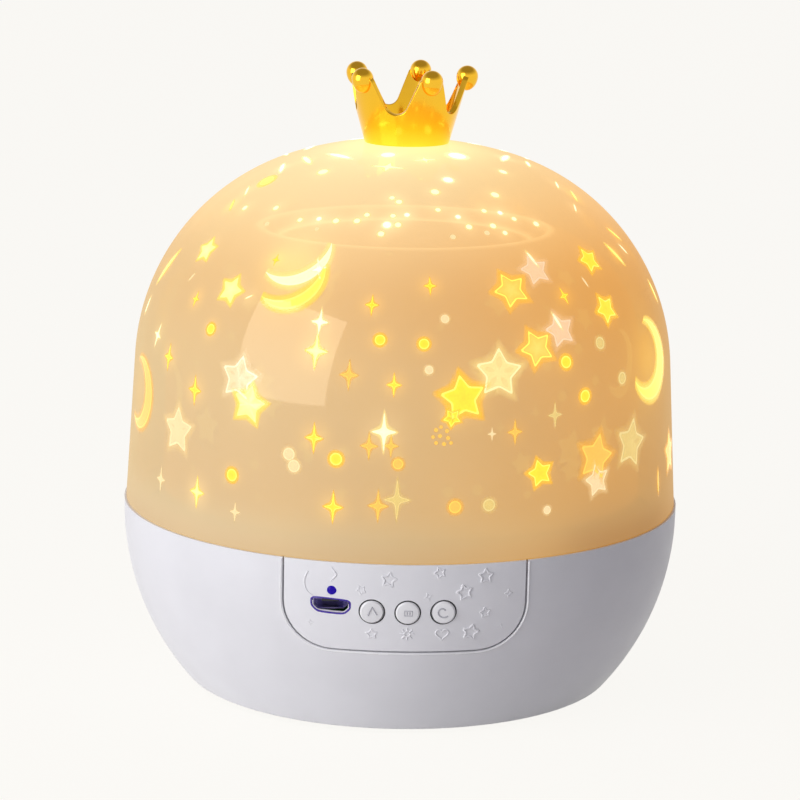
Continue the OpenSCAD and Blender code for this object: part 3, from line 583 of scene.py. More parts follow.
def moonLine(s, kind, ring):
    # along the big arc and back along the small one, each as far from the line midway as the ring asks
    half, reach, thick = s["moonSides"] // 2, s[kind + "Reach"], s[kind + "Thick"]
    tip = radians(180 - reach)
    shift = (1 - (1 - thick) ** 2) / (2 * (1 - thick + cos(tip)))
    end = atan2(sin(tip), cos(tip) - shift)
    outside, inside = [], []
    for i in range(half):
        share = (i + 0.25) / (half - 0.5)
        big = unit(tip + (fullTurn - 2 * tip) * share)
        little = Vector((shift, 0)) + unit(end + (fullTurn - 2 * end) * share) * (shift + 1 - thick)
        middle, out = (big + little) / 2, (big - little) / 2
        wide = max(out.length + s["moonSteps"][ring], out.length * (1 - s["moonTaper"] * ring))
        outside.append(middle + out.normalized() * wide)
        inside.append(middle - out.normalized() * wide)
    return outside + inside[::-1]


def cutLine(s, kind, ring):
    # a shape's outline at one of its rings
    if kind in ("moon", "sickle"):
        return moonLine(s, kind, ring)
    if kind in ("star", "spark"):
        corners = spikes(2 * s[kind + "Points"], (s[kind + "Tips"][ring], s[kind + "Notches"][ring]))
        return rounded([Vector((c.x * s[kind + "Wide"], c.y)) for c in corners], s[kind + "Rounding"])
    tall = s["dotSteps"][ring]
    wide = tall if kind == "dot" else s["streakWide"] + (tall - 1) * s["streakGrow"]
    return [Vector((cos(t) * wide, sin(t) * tall)) for t in around(s["dotSides"])]


def makeCut(s, kind):
    # a filled circle, inset ring by ring, then each ring drawn out to its own line; a moon has no middle
    lines = [cutLine(s, kind, ring) for ring in range(5)]
    sides = len(lines[0])
    centre = sum(lines[4], Vector((0, 0))) / sides
    piece = begin(kind, bpy.ops.mesh.primitive_circle_add, vertices=sides, radius=1, fill_type="NGON")
    edit("FACE")
    for _ in range(4):
        bpy.ops.mesh.inset(thickness=s["ringStep"], use_even_offset=False)
    hollow = kind in ("moon", "sickle")
    if not hollow:
        bpy.ops.mesh.poke()
    mode("OBJECT")
    layer = piece.data.attributes.new("ring", "INT", "POINT")
    inmost = {}
    for i, vert in enumerate(piece.data.vertices):
        ring = min(5, round((1 - vert.co.length) / s["ringStep"]))
        step = round((atan2(vert.co.y, vert.co.x) % fullTurn) / fullTurn * sides) % sides
        layer.data[i].value = ring
        if ring == 4:
            inmost[step] = i
        vert.co = (*(lines[ring][step] if ring < 5 else centre), 0)
    if hollow:
        # faces straight across from the big arc to the small one
        pickOnly(piece)
        pickWhere(piece, "FACE", lambda face: len(face.vertices) > 4)
        bpy.ops.mesh.delete(type="ONLY_FACE")
        mode("OBJECT")
        for i in range(sides // 2 - 1):
            ends = {inmost[k] for k in (i, i + 1, sides - 1 - i, sides - 2 - i)}
            pickWhere(piece, "VERT", lambda vert: vert.index in ends)
            bpy.ops.mesh.edge_face_add()
            mode("OBJECT")
    return piece


cuts = {kind: makeCut(cutShape, kind) for kind in ("star", "spark", "dot", "streak", "moon", "sickle")}

# ring colours, from the soft edge in: halo and how strong it is, rim, fill and how strong it is, middle
tints = {
    "vivid": ((1, 0.5, 0.03), 0.8, (1.1, 0.98, 0.12), (1.02, 0.8, 0.01), 1, (1, 0.72, 0.01)),
    "drawn": ((0.95, 0.46, 0.06), 0.75, (1.08, 0.95, 0.12), (0.92, 0.6, 0.08), 0.8, (0.98, 0.72, 0.14)),
    "fat": ((1, 0.7, 0.12), 0.9, (1.1, 1, 0.3), (1.08, 0.98, 0.3), 1, (1.1, 1.02, 0.42)),
    "amber": ((0.85, 0.4, 0.05), 0.45, (1, 0.62, 0.08), (0.93, 0.52, 0.07), 0.85, (0.9, 0.5, 0.07)),
    "pale": ((0.9, 0.66, 0.34), 0.25, (0.96, 0.74, 0.42), (0.94, 0.7, 0.4), 0.6, (0.95, 0.72, 0.42)),
    "olive": ((0.78, 0.56, 0.2), 0.2, (0.8, 0.62, 0.24), (0.74, 0.55, 0.18), 0.6, (0.76, 0.58, 0.2)),
    "cream": ((1, 0.8, 0.3), 0.45, (1.08, 1, 0.66), (1.05, 0.98, 0.62), 1, (1.08, 1, 0.72)),
    "white": ((1, 0.9, 0.5), 0.5, (1.1, 1.06, 0.9), (1.1, 1.06, 0.9), 1, (1.1, 1.08, 0.95)),
    "golden": ((1, 0.66, 0.1), 0.85, (1.1, 0.92, 0.16), (1.06, 0.86, 0.1), 1, (1.06, 0.88, 0.14)),
    "ghostly": ((0.98, 0.78, 0.5), 0.2, (1, 0.9, 0.62), (0.98, 0.8, 0.52), 0.45, (1, 0.86, 0.6)),
    "lemon": ((0.95, 0.74, 0.3), 0.25, (1, 0.86, 0.42), (0.93, 0.75, 0.3), 0.7, (0.95, 0.77, 0.32)),
    "printed": ((0.6, 0.3, 0.05), 0.3, (0.86, 0.62, 0.2), (0.74, 0.47, 0.1), 1, (0.78, 0.5, 0.12)),
    "rosy": ((0.93, 0.6, 0.36), 0.2, (0.93, 0.64, 0.42), (0.91, 0.61, 0.39), 0.55, (0.92, 0.62, 0.4)),
}

# each cut shape's spot in the frame, its size there, its turn and its tint; the streaks and the glints are painted
# highlights
cutSpots = [
    ("star", {
        "highLeft": (207, 250, 13, 8, "fat"), "upperLeft": (231, 290, 14.5, -14, "fat"),
        "left": (249, 404, 19, -10, "fat"), "leftGhost": (239, 378, 23, -7, "ghostly"),
        "upperRight": (511, 290, 19, 21, "drawn"), "upperRightGhost": (535, 270, 17, 10, "rosy"),
        "highRight": (589, 260, 14, 12, "vivid"), "right": (606, 309, 15, 22, "vivid"),
        "middleRight": (537, 348, 19, 22, "drawn"), "middleRightGhost": (560, 330, 18, 12, "rosy"),
        "centre": (463, 398, 23, 8, "vivid"), "centrePiece": (452, 418, 9, 30, "vivid"),
        "centreGhost": (499, 373, 25, -4, "lemon"), "lowRight": (540, 473, 14, 14, "vivid"),
        "farRight": (596, 457, 24, -16, "amber"), "farRightGhost": (597, 480, 17, 10, "pale"),
        "edgeGhost": (631, 443, 26, -14, "olive"), "edge": (669, 452, 21, 0, "amber"),
        "leftPale": (178, 430, 24, 0, "pale"),
    }),
    ("sickle", {
        "upperLeft": (291, 275, 35, 126, "golden"), "upperLeftGhost": (297, 253, 35, 124, "cream"),
    }),
    ("moon", {
        "leftEdge": (141, 392, 36, 170, "amber"), "right": (650, 359, 40, 146, "golden"),
    }),
    ("spark", {
        "moonGlint": (319, 269, 12, 20, "white"), "a": (372, 305, 10, 0, "vivid"), "b": (320, 322, 14, 0, "cream"),
        "c": (316, 351, 17, 0, "fat"), "d": (276, 260, 6, 0, "vivid"), "e": (196, 299, 8, 0, "vivid"),
        "f": (349, 375, 14, 0, "amber"), "g": (394, 385, 11, 0, "vivid"), "h": (314, 438, 14, 0, "vivid"),
        "i": (384, 432, 20, 0, "cream"), "j": (369, 446, 13, 0, "amber"), "k": (391, 446, 11, 0, "amber"),
        "l": (430, 286, 9, 0, "vivid"), "m": (564, 296, 9, 15, "vivid"), "n": (515, 432, 12, 0, "amber"),
        "o": (492, 434, 7, 0, "pale"), "p": (555, 415, 13, 0, "olive"), "q": (333, 507, 15, 0, "vivid"),
        "r": (378, 506, 15, 0, "amber"), "s": (397, 500, 21, 0, "olive"), "t": (235, 512, 10, 0, "pale"),
        "u": (169, 357, 13, 0, "vivid"), "v": (195, 390, 14, 0, "vivid"), "w": (197, 492, 15, 0, "fat"),
        "x": (161, 479, 13, 0, "pale"), "y": (158, 335, 13, -12, "cream"),
    }),
    ("dot", {
        "a": (211, 329, 5, 0, "vivid"), "b": (380, 340, 5, 0, "vivid"), "c": (424, 344, 5, 0, "vivid"),
        "d": (336, 459, 6, 0, "vivid"), "e": (232, 475, 6, 0, "vivid"), "f": (566, 362, 6, 0, "vivid"),
        "g": (585, 396, 6, 0, "vivid"), "h": (289, 454, 6, 0, "pale"), "i": (294, 466, 6, 0, "pale"),
        "j": (398, 464, 5, 0, "amber"), "k": (455, 507, 6, 0, "amber"), "l": (489, 505, 6, 0, "olive"),
        "m": (445, 319, 4, 0, "pale"), "n": (600, 343, 6, 0, "olive"), "o": (622, 378, 6, 0, "olive"),
        "p": (547, 510, 4, 0, "pale"), "q": (429, 370, 4, 0, "pale"),
    }),
    # painted highlights: streaks of light along the dome
    ("streak", {
        "left": (168, 266, 17, -24, "golden"), "leftLow": (148, 305, 8, -12, "cream"),
        "leftHigh": (192, 277, 5, -30, "pale"), "leftPale": (249, 297, 4, -60, "cream"),
        "right": (615, 254, 12, 28, "golden"), "rightHigh": (614, 234, 9, 38, "vivid"),
        "rightThin": (623, 249, 6, 30, "cream"), "rightEdge": (653, 291, 10, 12, "golden"),
        "rightLow": (658, 481, 11, 0, "amber"), "ghostHigh": (532, 259, 8, 22, "cream"),
        "ghostLow": (557, 321, 8, 25, "cream"), "pink": (585, 282, 5, 20, "pale"),
    }),
    # painted glints at the crown's foot
    ("dot", {
        "footGlintA": (388, 155, 7, 0, "white"), "footGlintB": (457, 156, 9, 0, "white"),
        "footGlintC": (435, 192, 4, 0, "cream"), "footGlintD": (448, 180, 5, 0, "white"),
        "footGlintE": (495, 195, 4, 0, "cream"), "footGlintF": (503, 172, 4, 0, "cream"),
        "footGlintG": (323, 172, 5, 0, "cream"), "footGlintH": (267, 181, 8, 0, "golden"),
    }),
    # painted glints round the top of the dome, in this group and the next two
    ("streak", {
        "bandA": (282, 168, 12, 60, "white"), "bandB": (307, 160, 15, 75, "cream"),
        "bandC": (340, 156, 16, 85, "white"), "bandD": (505, 158, 15, -85, "white"),
        "bandE": (528, 164, 10, -75, "cream"),
    }),
    ("spark", {
        "bandF": (388, 167, 17, 84, "cream"), "bandL": (425, 160, 12, 95, "cream"),
    }),
    ("streak", {
        "bandG": (557, 185, 7, -60, "cream"), "bandH": (574, 196, 8, -50, "golden"),
        "bandI": (575, 208, 6, -50, "cream"), "bandJ": (247, 191, 8, 50, "cream"),
        "bandK": (232, 205, 7, 45, "golden"),
    }),
]
# tiny points of light by their size and tint: a loose field on top, and a patch of specks by the middle star
pointSpots = [
    (3, "cream", [(245, 208), (276, 208), (336, 221), (357, 221), (398, 225), (381, 234), (399, 202), (469, 227),
        (493, 226), (536, 224)]),
    (2.5, "pale", [(267, 224), (487, 233), (453, 237)]),
    (2.5, "cream", [(300, 220), (393, 216), (392, 198), (438, 210), (484, 211), (514, 219), (367, 215), (505, 233)]),
    (2.5, "white", [(319, 219), (407, 215), (458, 217), (500, 213)]),
    (2, "pale", [(317, 229)]),
    (4, "white", [(387, 225)]),
    (1.6, "amber", [(436, 430), (447, 431), (440, 436), (448, 438), (444, 444)]),
    (1.4, "amber", [(441, 427), (433, 437), (451, 443)]),
    (1.5, "amber", [(436, 443)]),
]
for size, tint, spots in pointSpots:
    cutSpots.append(("dot", {"point%d" % i: (x, y, size, 0, tint) for i, (x, y) in enumerate(spots)}))
pixelWidth = 1 / 4330  # metres for one step of the frame, at the dome's front


def hitOn(piece, origin, ahead):
    # the place and outward normal where a line meets a piece
    seat = piece.matrix_world
    back = seat.inverted()
    ahead = back.to_3x3() @ ahead
    hit, place, normal, _ = piece.ray_cast(back @ origin, ahead)
    if hit:
        normal = seat.to_3x3() @ (normal if normal.dot(ahead) < 0 else -normal)
        return seat @ place, normal.normalized()


def spotOn(piece, x, y):
    return hitOn(piece, *sightLine(x, y))


def seatOf(place, normal, turn, size):
    # stands a flat shape on a surface, its own upright along the surface; the size is in steps of the frame
    up = Vector((0, 0, 1))
    up = (up - normal * up.dot(normal)).normalized()
    axes = Matrix((up.cross(normal), up, normal)).transposed().to_4x4()
    scale = Matrix.Diagonal((*[size * pixelWidth] * 3, 1))
    return Matrix.Translation(place) @ axes @ turnZ(radians(turn)) @ scale


def join(pieces, name):
    pickOnly(*pieces)
    bpy.ops.object.join()
    piece = bpy.context.object
    piece.name = piece.data.name = name
    return piece


def stamp(kind, seat, tint):
    # one copy of a cut shape, seated and inked ring by ring
    piece = copyOf(cuts[kind], seat, kind)
    halo, haloShare, rim, fill, fillShare, middle = tints[tint]
    rings = [(*halo, 0), (*halo, haloShare), (*rim, 1), (*rim, 1), (*fill, fillShare), (*middle, fillShare)]
    colours = [rings[entry.value] for entry in piece.data.attributes["ring"].data]
    layer = piece.data.attributes.new("ink", "FLOAT_COLOR", "POINT")
    layer.data.foreach_set("color", np.array(colours).ravel())
    return piece


def stampAll(spots, name):
    return join([stamp(kind, turnZ(half) @ seatOf(*found, turn, size), tint)
                 for kind, found, size, turn, tint in spots for half in halves], name)


def layOn(piece, target, lift, thick):
    # brings every point onto the target's face and gives the shapes their thickness
    wrap = piece.modifiers.new("wrap", "SHRINKWRAP")
    wrap.target, wrap.wrap_mode, wrap.offset = target, "ABOVE_SURFACE", lift
    body = piece.modifiers.new("body", "SOLIDIFY")
    body.thickness, body.offset = thick, 1
    applyAll(piece)


lampShape = {"height": 0.0665, "printScale": 0.85, "leastPrint": 4, "lift": 0.00003, "thick": 0.00004, "skin": 0.00002}


def printSpots(s, spots):
    # each shape again on the shade, in the line from the lamp to its spot on the dome
    lamp = Vector((0, 0, s["height"]))
    for kind, found, size, turn, _ in spots:
        origin, ahead = lamp, (found[0] - lamp).normalized()
        for _ in range(2):
            hit, place, normal, _ = shade.ray_cast(origin, ahead)
            origin = place + ahead * s["skin"] if hit else origin
        if kind != "streak" and size >= s["leastPrint"] and hit and normal.dot(ahead) >= 0:
            yield kind, (place, normal), size * s["printScale"], turn, "printed"


lightSpots = [(kind, spotOn(dome, x, y), size, turn, tint)
              for kind, spots in cutSpots for x, y, size, turn, tint in spots.values()]
ink = inkPaint()
starLights = stampAll(lightSpots, "starLights")
starPrints = stampAll(printSpots(lampShape, lightSpots), "starPrints")
for piece, target, body in ((starLights, dome, "cover"), (starPrints, shade, "turntable")):
    layOn(piece, target, lampShape["lift"], lampShape["thick"])
    paintOver(piece, ink)
    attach(piece, body)
for cut in cuts.values():
    bpy.data.objects.remove(cut)
print("star lights", len(starLights.data.polygons))

# painted light in the milk: over the lamp, round the crown's foot, in bands and behind the bright shapes; painted shade
# at the upper left and along the seam
glowShape = {
    # each spot's place, its reach, its colour and the milk it adds
    "crownFoot": ((0, -0.004, 0.1255), 0.013, (0.5, 0.4, 0.17, 0.3)),
    "upper": ((-0.008, -0.012, 0.1215), 0.032, (0.15, 0.22, 0.17, 0.1)),
    "rightSide": ((0.04, -0.042, 0.075), 0.022, (0.08, 0.02, -0.01, 0)),
    "leftShade": ((-0.045, -0.03, 0.105), 0.024, (-0.07, -0.03, -0.03, 0)),
    # painted shade along the seam at the right front
    "seamTurns": (-54, -47, -40, -33, -26), "seamRadius": 0.0643, "seamHeight": 0.044, "seamReach": 0.0056,
    "seamShade": (-0.07, -0.04, -0.01, 0),
    # each band's or ring's radius, height, reach and colour
    "bands": {
        "paintedWarmGlow": (None, 0.118, 0.009, (0.245, 0.165, 0.085, 0)),
        "rosy": (None, 0.103, 0.012, (0.075, -0.045, -0.07, 0)),
        "foot": (None, 0.046, 0.004, (0, 0, 0, 0.24)),
        # painted shade in a band along the whole seam
        "seam": (None, 0.044, 0.0035, (-0.045, -0.065, -0.04, 0)),
    },
    # painted highlight lines along the shade's crest and round the plate's edge
    "rings": {
        "crest": (0.0336, 0.1071, 0.0007, (0.75, 0.75, 0.55, 0)),
        "rim": (0.0292, 0.1041, 0.0007, (0.75, 0.75, 0.55, 0)),
    },
    "halo": {
        "vivid": (0.24, 0.11, -0.02, 0.05), "fat": (0.26, 0.16, 0.03, 0.05), "drawn": (0.22, 0.1, 0, 0.05),
        "golden": (0.28, 0.16, -0.01, 0.05), "amber": (0.1, 0.04, -0.01, 0), "cream": (0.12, 0.1, 0.05, 0),
        "white": (0.2, 0.17, 0.1, 0),
    },
    "haloReach": 0.62, "haloLeast": 0.0015, "haloSize": 2, "streakShare": 0.5,
}


def glowSpots(s):
    spots = [s[name] for name in ("crownFoot", "upper", "rightSide", "leftShade")]
    for turn in s["seamTurns"]:
        place = (*unit(radians(turn)) * s["seamRadius"], s["seamHeight"])
        spots.append((place, s["seamReach"], s["seamShade"]))
    for kind, found, size, turn, tint in lightSpots:
        if tint in s["halo"] and size > s["haloSize"]:
            share = s["streakShare"] if kind == "streak" else 1
            reach = max(s["haloLeast"], size * pixelWidth * s["haloReach"] * share)
            spots += [(turnZ(half) @ found[0], reach, s["halo"][tint]) for half in halves]
    return spots


paintGlow(dome, glowSpots(glowShape), glowShape["bands"].values())
for piece in (shade, plate):
    paintGlow(piece, [], glowShape["rings"].values())
print("glow")

# crown: a flared wall drawn up into five points, a floor with its boss, and a ball on each point
crownShape = {
    "seat": 126.648, "foot": 9.75, "flare": 0.28, "height": 17.8, "wall": 1.3, "floor": 1.6, "floorFoot": 0.02,
    "points": 5, "firstPoint": -67.8, "valley": 7.3, "valleyRound": 3, "flank": 5.95, "floorOver": 0.3,
    "ball": 2.5, "ballTop": 2.5, "ballFoot": 3.3, "ballIn": 0.3, "ballLean": 0.5,
    "boss": 3.5, "bossFoot": -2.3, "pilot": 1.25, "pilotTop": 1,
    "columns": 300, "rows": 26, "edge": 0.26, "edgeSteps": 3, "edgeAngle": 50,
    "floorSteps": 96, "ballSteps": 48, "ballRows": 24, "toneReach": 12,
}


def crownRim(s, turn):
    # height of the wall's rim in a direction: a round valley, and flanks straight up to the points
    step = fullTurn / s["points"]
    off = abs((turn - radians(s["firstPoint"])) % step - step / 2)  # away from the middle of a valley
    middle, radius = s["valley"] + s["valleyRound"], s["valleyRound"]
    far = Vector((s["flank"], s["height"] - s["ball"] - middle))
    leave = unit(atan2(far.y, far.x) - acos(radius / far.length)) * radius
    height = s["valley"]
    for _ in range(8):
        across = (s["foot"] + s["flare"] * height) * sin(off)
        if across < leave.x:
            height = middle - sqrt(radius ** 2 - across ** 2)
        else:
            share = min(1, (across - leave.x) / (far.x - leave.x))
            height = middle + leave.y + share * (far.y - leave.y)
    return height


def makeCrown(s):
    line = [(s["foot"], s["height"] * i / s["rows"]) for i in range(s["rows"] + 1)]
    wall = lathe("crownWall", line, s["columns"], closed=False)
    for vert in wall.data.vertices:
        turn = atan2(vert.co.y, vert.co.x)
        height = vert.co.z / mm / s["height"] * crownRim(s, turn)
        radius = s["foot"] + s["flare"] * height
        vert.co = Vector((radius * cos(turn), radius * sin(turn), height)) * mm
    thick = wall.modifiers.new("wall", "SOLIDIFY")
    thick.thickness, thick.offset = s["wall"] * mm, -1
    edge = wall.modifiers.new("edge", "BEVEL")
    edge.width, edge.segments, edge.angle_limit = s["edge"] * mm, s["edgeSteps"], radians(s["edgeAngle"])
    applyAll(wall)
    smooth(wall, 40)
    inner = s["foot"] - s["wall"] + s["floorOver"]
    line = [(0, s["floor"]), (inner, s["floor"]), (inner, s["floorFoot"]), (s["boss"], s["floorFoot"]),
            (s["boss"], s["bossFoot"]), (s["pilot"], s["bossFoot"]), (s["pilot"], s["pilotTop"]), (0, s["pilotTop"])]
    floor = lathe("crownFloor", line, s["floorSteps"], closed=False)
    turns = [pi * i / s["ballRows"] for i in range(s["ballRows"] + 1)]
    line = [(s["ball"] * sin(t), cos(t) * s["ballTop" if t < pi / 2 else "ballFoot"]) for t in turns]
    ball = lathe("crownBall", line, s["ballSteps"], closed=False)
    height = s["height"] - s["ballTop"]
    seat = Matrix.Translation(Vector((s["foot"] + s["flare"] * height - s["ballIn"], 0, height)) * mm)
    seat = seat @ Matrix.Rotation(atan(s["flare"]) * s["ballLean"], 4, "Y")
    first = radians(s["firstPoint"])
    balls = [copyOf(ball, turnZ(first + turn) @ seat, "crownBall") for turn in around(s["points"])]
    bpy.data.objects.remove(ball)
    crown = join([wall, floor] + balls, "crownGold")
    crown.data.transform(Matrix.Translation((0, 0, s["seat"] * mm)))
    return crown


def goldPaint(s):
    # polished plating, painted paler and given a faint warm glow at its foot beside the lit dome, as painted light; a
    # little deeper in tone towards the points, with faint casting waves
    p = Paint("goldPlate")
    rise = p.between(p.axis("Z"), s["seat"] * mm, (s["seat"] + s["toneReach"]) * mm)
    waves = p.noise(130)
    tone = p.ramp(rise, (0, (1, 0.68, 0.07, 1)), (0.35, (0.98, 0.56, 0.025, 1)), (1, (0.95, 0.55, 0.04, 1)))
    tone = p.mix(p.spread(waves, 0, 0.25), tone, (0.86, 0.45, 0.02, 1))
    # painted light: a faint warm glow on the gold, strongest at the foot
    paintedWarmGlow = p.ramp(rise, (0, (0.22, 0.12, 0.002, 1)), (0.5, (0.05, 0.02, 0, 1)), (1, (0.01, 0.004, 0, 1)))
    return p.coat({"Base Color": tone, "Metallic": 1, "Roughness": p.spread(p.noise(420, 3), 0.09, 0.15),
                   "Normal": p.bump(waves, 0.00012, 0.7)}, paintedWarmGlow)


crown = makeCrown(crownShape)
paintOver(crown, goldPaint(crownShape))
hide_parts("crown")
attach(crown, "cover")
print("crown", len(crown.data.polygons))

# raised lines on the control panel and the signs on its buttons: each a thin bead, half sunk in the face
reliefShape = {"bead": 0.125, "lineBead": 0.00019, "sides": 2, "spread": 0.95, "strokeStep": 2}


def bead(name, line, radius, closed):
    # a round bead along a line of points
    piece = startPoint(name, line[0])
    for a, b in zip(line, line[1:]):
        bpy.ops.mesh.extrude_region_move(TRANSFORM_OT_translate={"value": b - a})
    mode("OBJECT")
    bpy.ops.object.convert(target="CURVE")
    for spline in piece.data.splines:
        spline.use_cyclic_u = closed
    piece.data.bevel_depth = radius
    piece.data.bevel_resolution = reliefShape["sides"]
    piece.data.use_fill_caps = True
    bpy.ops.object.convert(target="MESH")
    pickOnly(piece)
    edit("VERT")
    closeUp(fineMerge)
    smooth(piece, 60)
    return piece


def heartCorners():
    return [(sin(t) ** 3, (13 * cos(t) - 5 * cos(2 * t) - 2 * cos(3 * t) - cos(4 * t)) / 16)
            for t in around(28)]


# each form's lines, and whether they close
reliefKinds = {
    "star": [(rounded(spikes(10, (1, 0.5)), 0.2), True)],
    "spark": [(rounded(spikes(8, (1, 0.3)), 0.15), True)],
    "heart": [(heartCorners(), True)],
    "tick": [([(0, -1), (0, 1)], False), ([(-0.7, 0), (0.7, 0)], False)],
    "sun": [([c * 0.45, c], False) for c in spikes(8, (1,))] + [(spikes(14, (0.42,)), True)],
    "arrow": [([(-0.62, -0.75), (0, 0.65), (0.72, -0.65)], False)],
    "bars": [([(-0.9, -0.6), (0.9, -0.6), (0.9, 0.6), (-0.9, 0.6)], True)]
            + [([(x, -0.35), (x, 0.35)], False) for x in (-0.3, 0.3)],
    "curl": [([unit(t) * (0.35 + t * 0.12) for t in [0.6 + 0.45 * i for i in range(12)]], False)],
}
# each raised form's spot in the frame, its size there and its turn
reliefSpots = {
    "starB": ("star", 389, 580, 8, -10), "starC": ("star", 440, 573, 6, 20), "starD": ("star", 486, 576, 8, 0),
    "starE": ("star", 464.6, 592.4, 8.5, 15), "starF": ("star", 470.6, 632, 9, -12),
    "starG": ("star", 371.6, 634, 6, 5), "starH": ("star", 485, 612.5, 6, 10), "starI": ("star", 361, 590, 5, 30),
    "sparkA": ("spark", 428, 597, 4, 20), "sparkB": ("spark", 508.5, 593, 4.5, 0),
    "sparkC": ("spark", 310, 622, 3.5, 0), "sunA": ("sun", 407, 634, 7, 0), "heartA": ("heart", 442, 634, 6.5, 0),
    "tickA": ("tick", 501, 625, 3.5, 20),
}
panelStrokes = {
    "crescent": [(308, 571), (305.3, 576), (304.4, 581.5), (305.2, 587), (308, 592), (313, 595.5)],
    "chevron": [(331.3, 567), (334, 570.6), (336.4, 574.4), (334, 577.6), (330.8, 580.8)],
}
signSpots = {"left": ("arrow", 372, 611, 6.5), "middle": ("bars", 408.5, 613.6, 4.3), "right": ("curl", 443, 612, 6.5)}


def makeRelief(lines):
    beads = [bead("form", [Vector((*c, 0)) for c in line], reliefShape["bead"], closed) for line, closed in lines]
    return join(beads, "form")


def smoothLine(corners, gap):
    # a soft curve through spots of the frame, cut into short steps
    line = [Vector(corners[0])]
    for i in range(len(corners) - 1):
        a, b, c, d = (Vector(corners[min(max(k, 0), len(corners) - 1)]) for k in (i - 1, i, i + 1, i + 2))
        count = max(2, round((c - b).length / gap))
        for t in [k / count for k in range(1, count + 1)]:
            bends = (c - a) * t + (2 * a - 5 * b + 4 * c - d) * t ** 2 + (3 * b - a - 3 * c + d) * t ** 3
            line.append(0.5 * (2 * b + bends))
    return line


panel = nodes["control_panel"]
forms = {kind: makeRelief(lines) for kind, lines in reliefKinds.items()}
raised = [copyOf(forms[kind], seatOf(*spotOn(panel, x, y), turn, size * reliefShape["spread"]), key)
          for key, (kind, x, y, size, turn) in reliefSpots.items()]
for key, corners in panelStrokes.items():
    line = [spotOn(panel, *corner)[0] for corner in smoothLine(corners, reliefShape["strokeStep"])]
    raised.append(bead(key, line, reliefShape["lineBead"], False))
panelRelief = join(raised, "panelRelief")
paintOver(panelRelief, finishes["white_panel"])
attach(panelRelief, "base")
signGrey = moulded("signGrey", [0.5, 0.5, 0.54], 0.4)
for side, (kind, x, y, size) in signSpots.items():
    button = "button_" + side
    seat = seatOf(*spotOn(nodes[button], x, y), 0, size * reliefShape["spread"])
    sign = copyOf(forms[kind], seat, "sign_" + side)
    paintOver(sign, signGrey)
    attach(sign, button)
for form in forms.values():
    bpy.data.objects.remove(form)

# a lip round the panel's groove, painted whiter as a painted highlight, a dark ring of painted shadow in each button's
# gap, and the socket's rim with a painted violet glow and its bright edge
frontShape = {
    "bowlMiddle": 4, "bowlHeight": 41, "bowlRound": 61,
    "wall": 0.064362, "row": 0.0322, "tilt": 8.2946,
    "halfWidth": 0.0267, "foot": 0.0225, "corner": 0.011, "top": 0.0427, "lipStep": 0.0012, "cornerSteps": 12,
    "before": -0.2,  # where the lines that feel for the shell start
    "lipOut": 0.00033, "lipBead": 0.00024, "lipProud": 0.0002,
    "gapMiddles": (-7.15, 0.6, 8.35), "gapTurns": 48, "gapReach": 2.755, "gapBead": 0.00015, "gapDeep": 0.06,
    "socketAt": (-16.1, 0.6), "socketWide": 8.5, "socketTall": 3.4, "socketCut": 0.8, "socketSide": 0.2,
    "socketRounds": (0.25, 0.3), "socketStep": 0.5, "rimBead": 0.00019, "rimDeep": 0.08,
    "edgeBead": 0.0001, "edgeIn": 0.36, "edgeDeep": 0.2, "edgeTop": 0.9,
}
panelSeat = (Matrix.Translation((0, -frontShape["wall"], frontShape["row"]))
             @ Matrix.Rotation(radians(90 + frontShape["tilt"]), 4, "X"))


def onSkin(across, up, sink):
    # a spot along the row and up the wall, in mm, set straight in from the bowl's skin
    s, deep = frontShape, 0
    for _ in range(5):
        place = panelSeat @ (Vector((across, up, deep)) * mm) / mm
        reach = s["bowlMiddle"] + sqrt(s["bowlRound"] ** 2 - (s["bowlHeight"] - place.z) ** 2)
        deep += place.y + sqrt(reach ** 2 - place.x ** 2)
    return panelSeat @ (Vector((across, up, deep - sink)) * mm)


def lipLine(s):
    # down one side of the groove, round its lower corners and up the other
    out, steps = s["lipOut"], s["cornerSteps"]
    half, foot, corner = s["halfWidth"] + out, s["foot"] - out, s["corner"] + out
    line = [(half, s["top"])]
    for middle, first in ((half - corner, 0), (corner - half, -90)):
        line += arc((middle, foot + corner), corner, first, first - 90, steps)
    line.append((-half, s["top"]))
    found = [hitOn(nodes["base_shell"], Vector((x, s["before"], z)), Vector((0, 1, 0)))
             for x, z in denser(line, s["lipStep"])]
    return [place - normal * (s["lipBead"] - s["lipProud"]) for place, normal in found]


def socketLine(s, inward, sink, top):
    # the socket's outline below a height: flat top, lower corners cut, all corners round
    w, h = s["socketWide"] / 2 - inward, s["socketTall"] / 2 - inward
    side, cut = -h * s["socketSide"], w - h * s["socketCut"]
    soft = [Vector(c) for c in ((-w, h), (-w, side), (-cut, -h), (cut, -h), (w, side), (w, h))]
    for share in s["socketRounds"]:
        soft = rounded(soft, share)
    x, y = s["socketAt"]
    return [onSkin(x + c[0], y + c[1], sink) for c in denser(soft + soft[:1], s["socketStep"])[:-1] if c[1] < top]


def gapLine(s, middle):
    return [onSkin(middle + cos(t) * s["gapReach"], sin(t) * s["gapReach"], s["gapDeep"])
            for t in around(s["gapTurns"])]


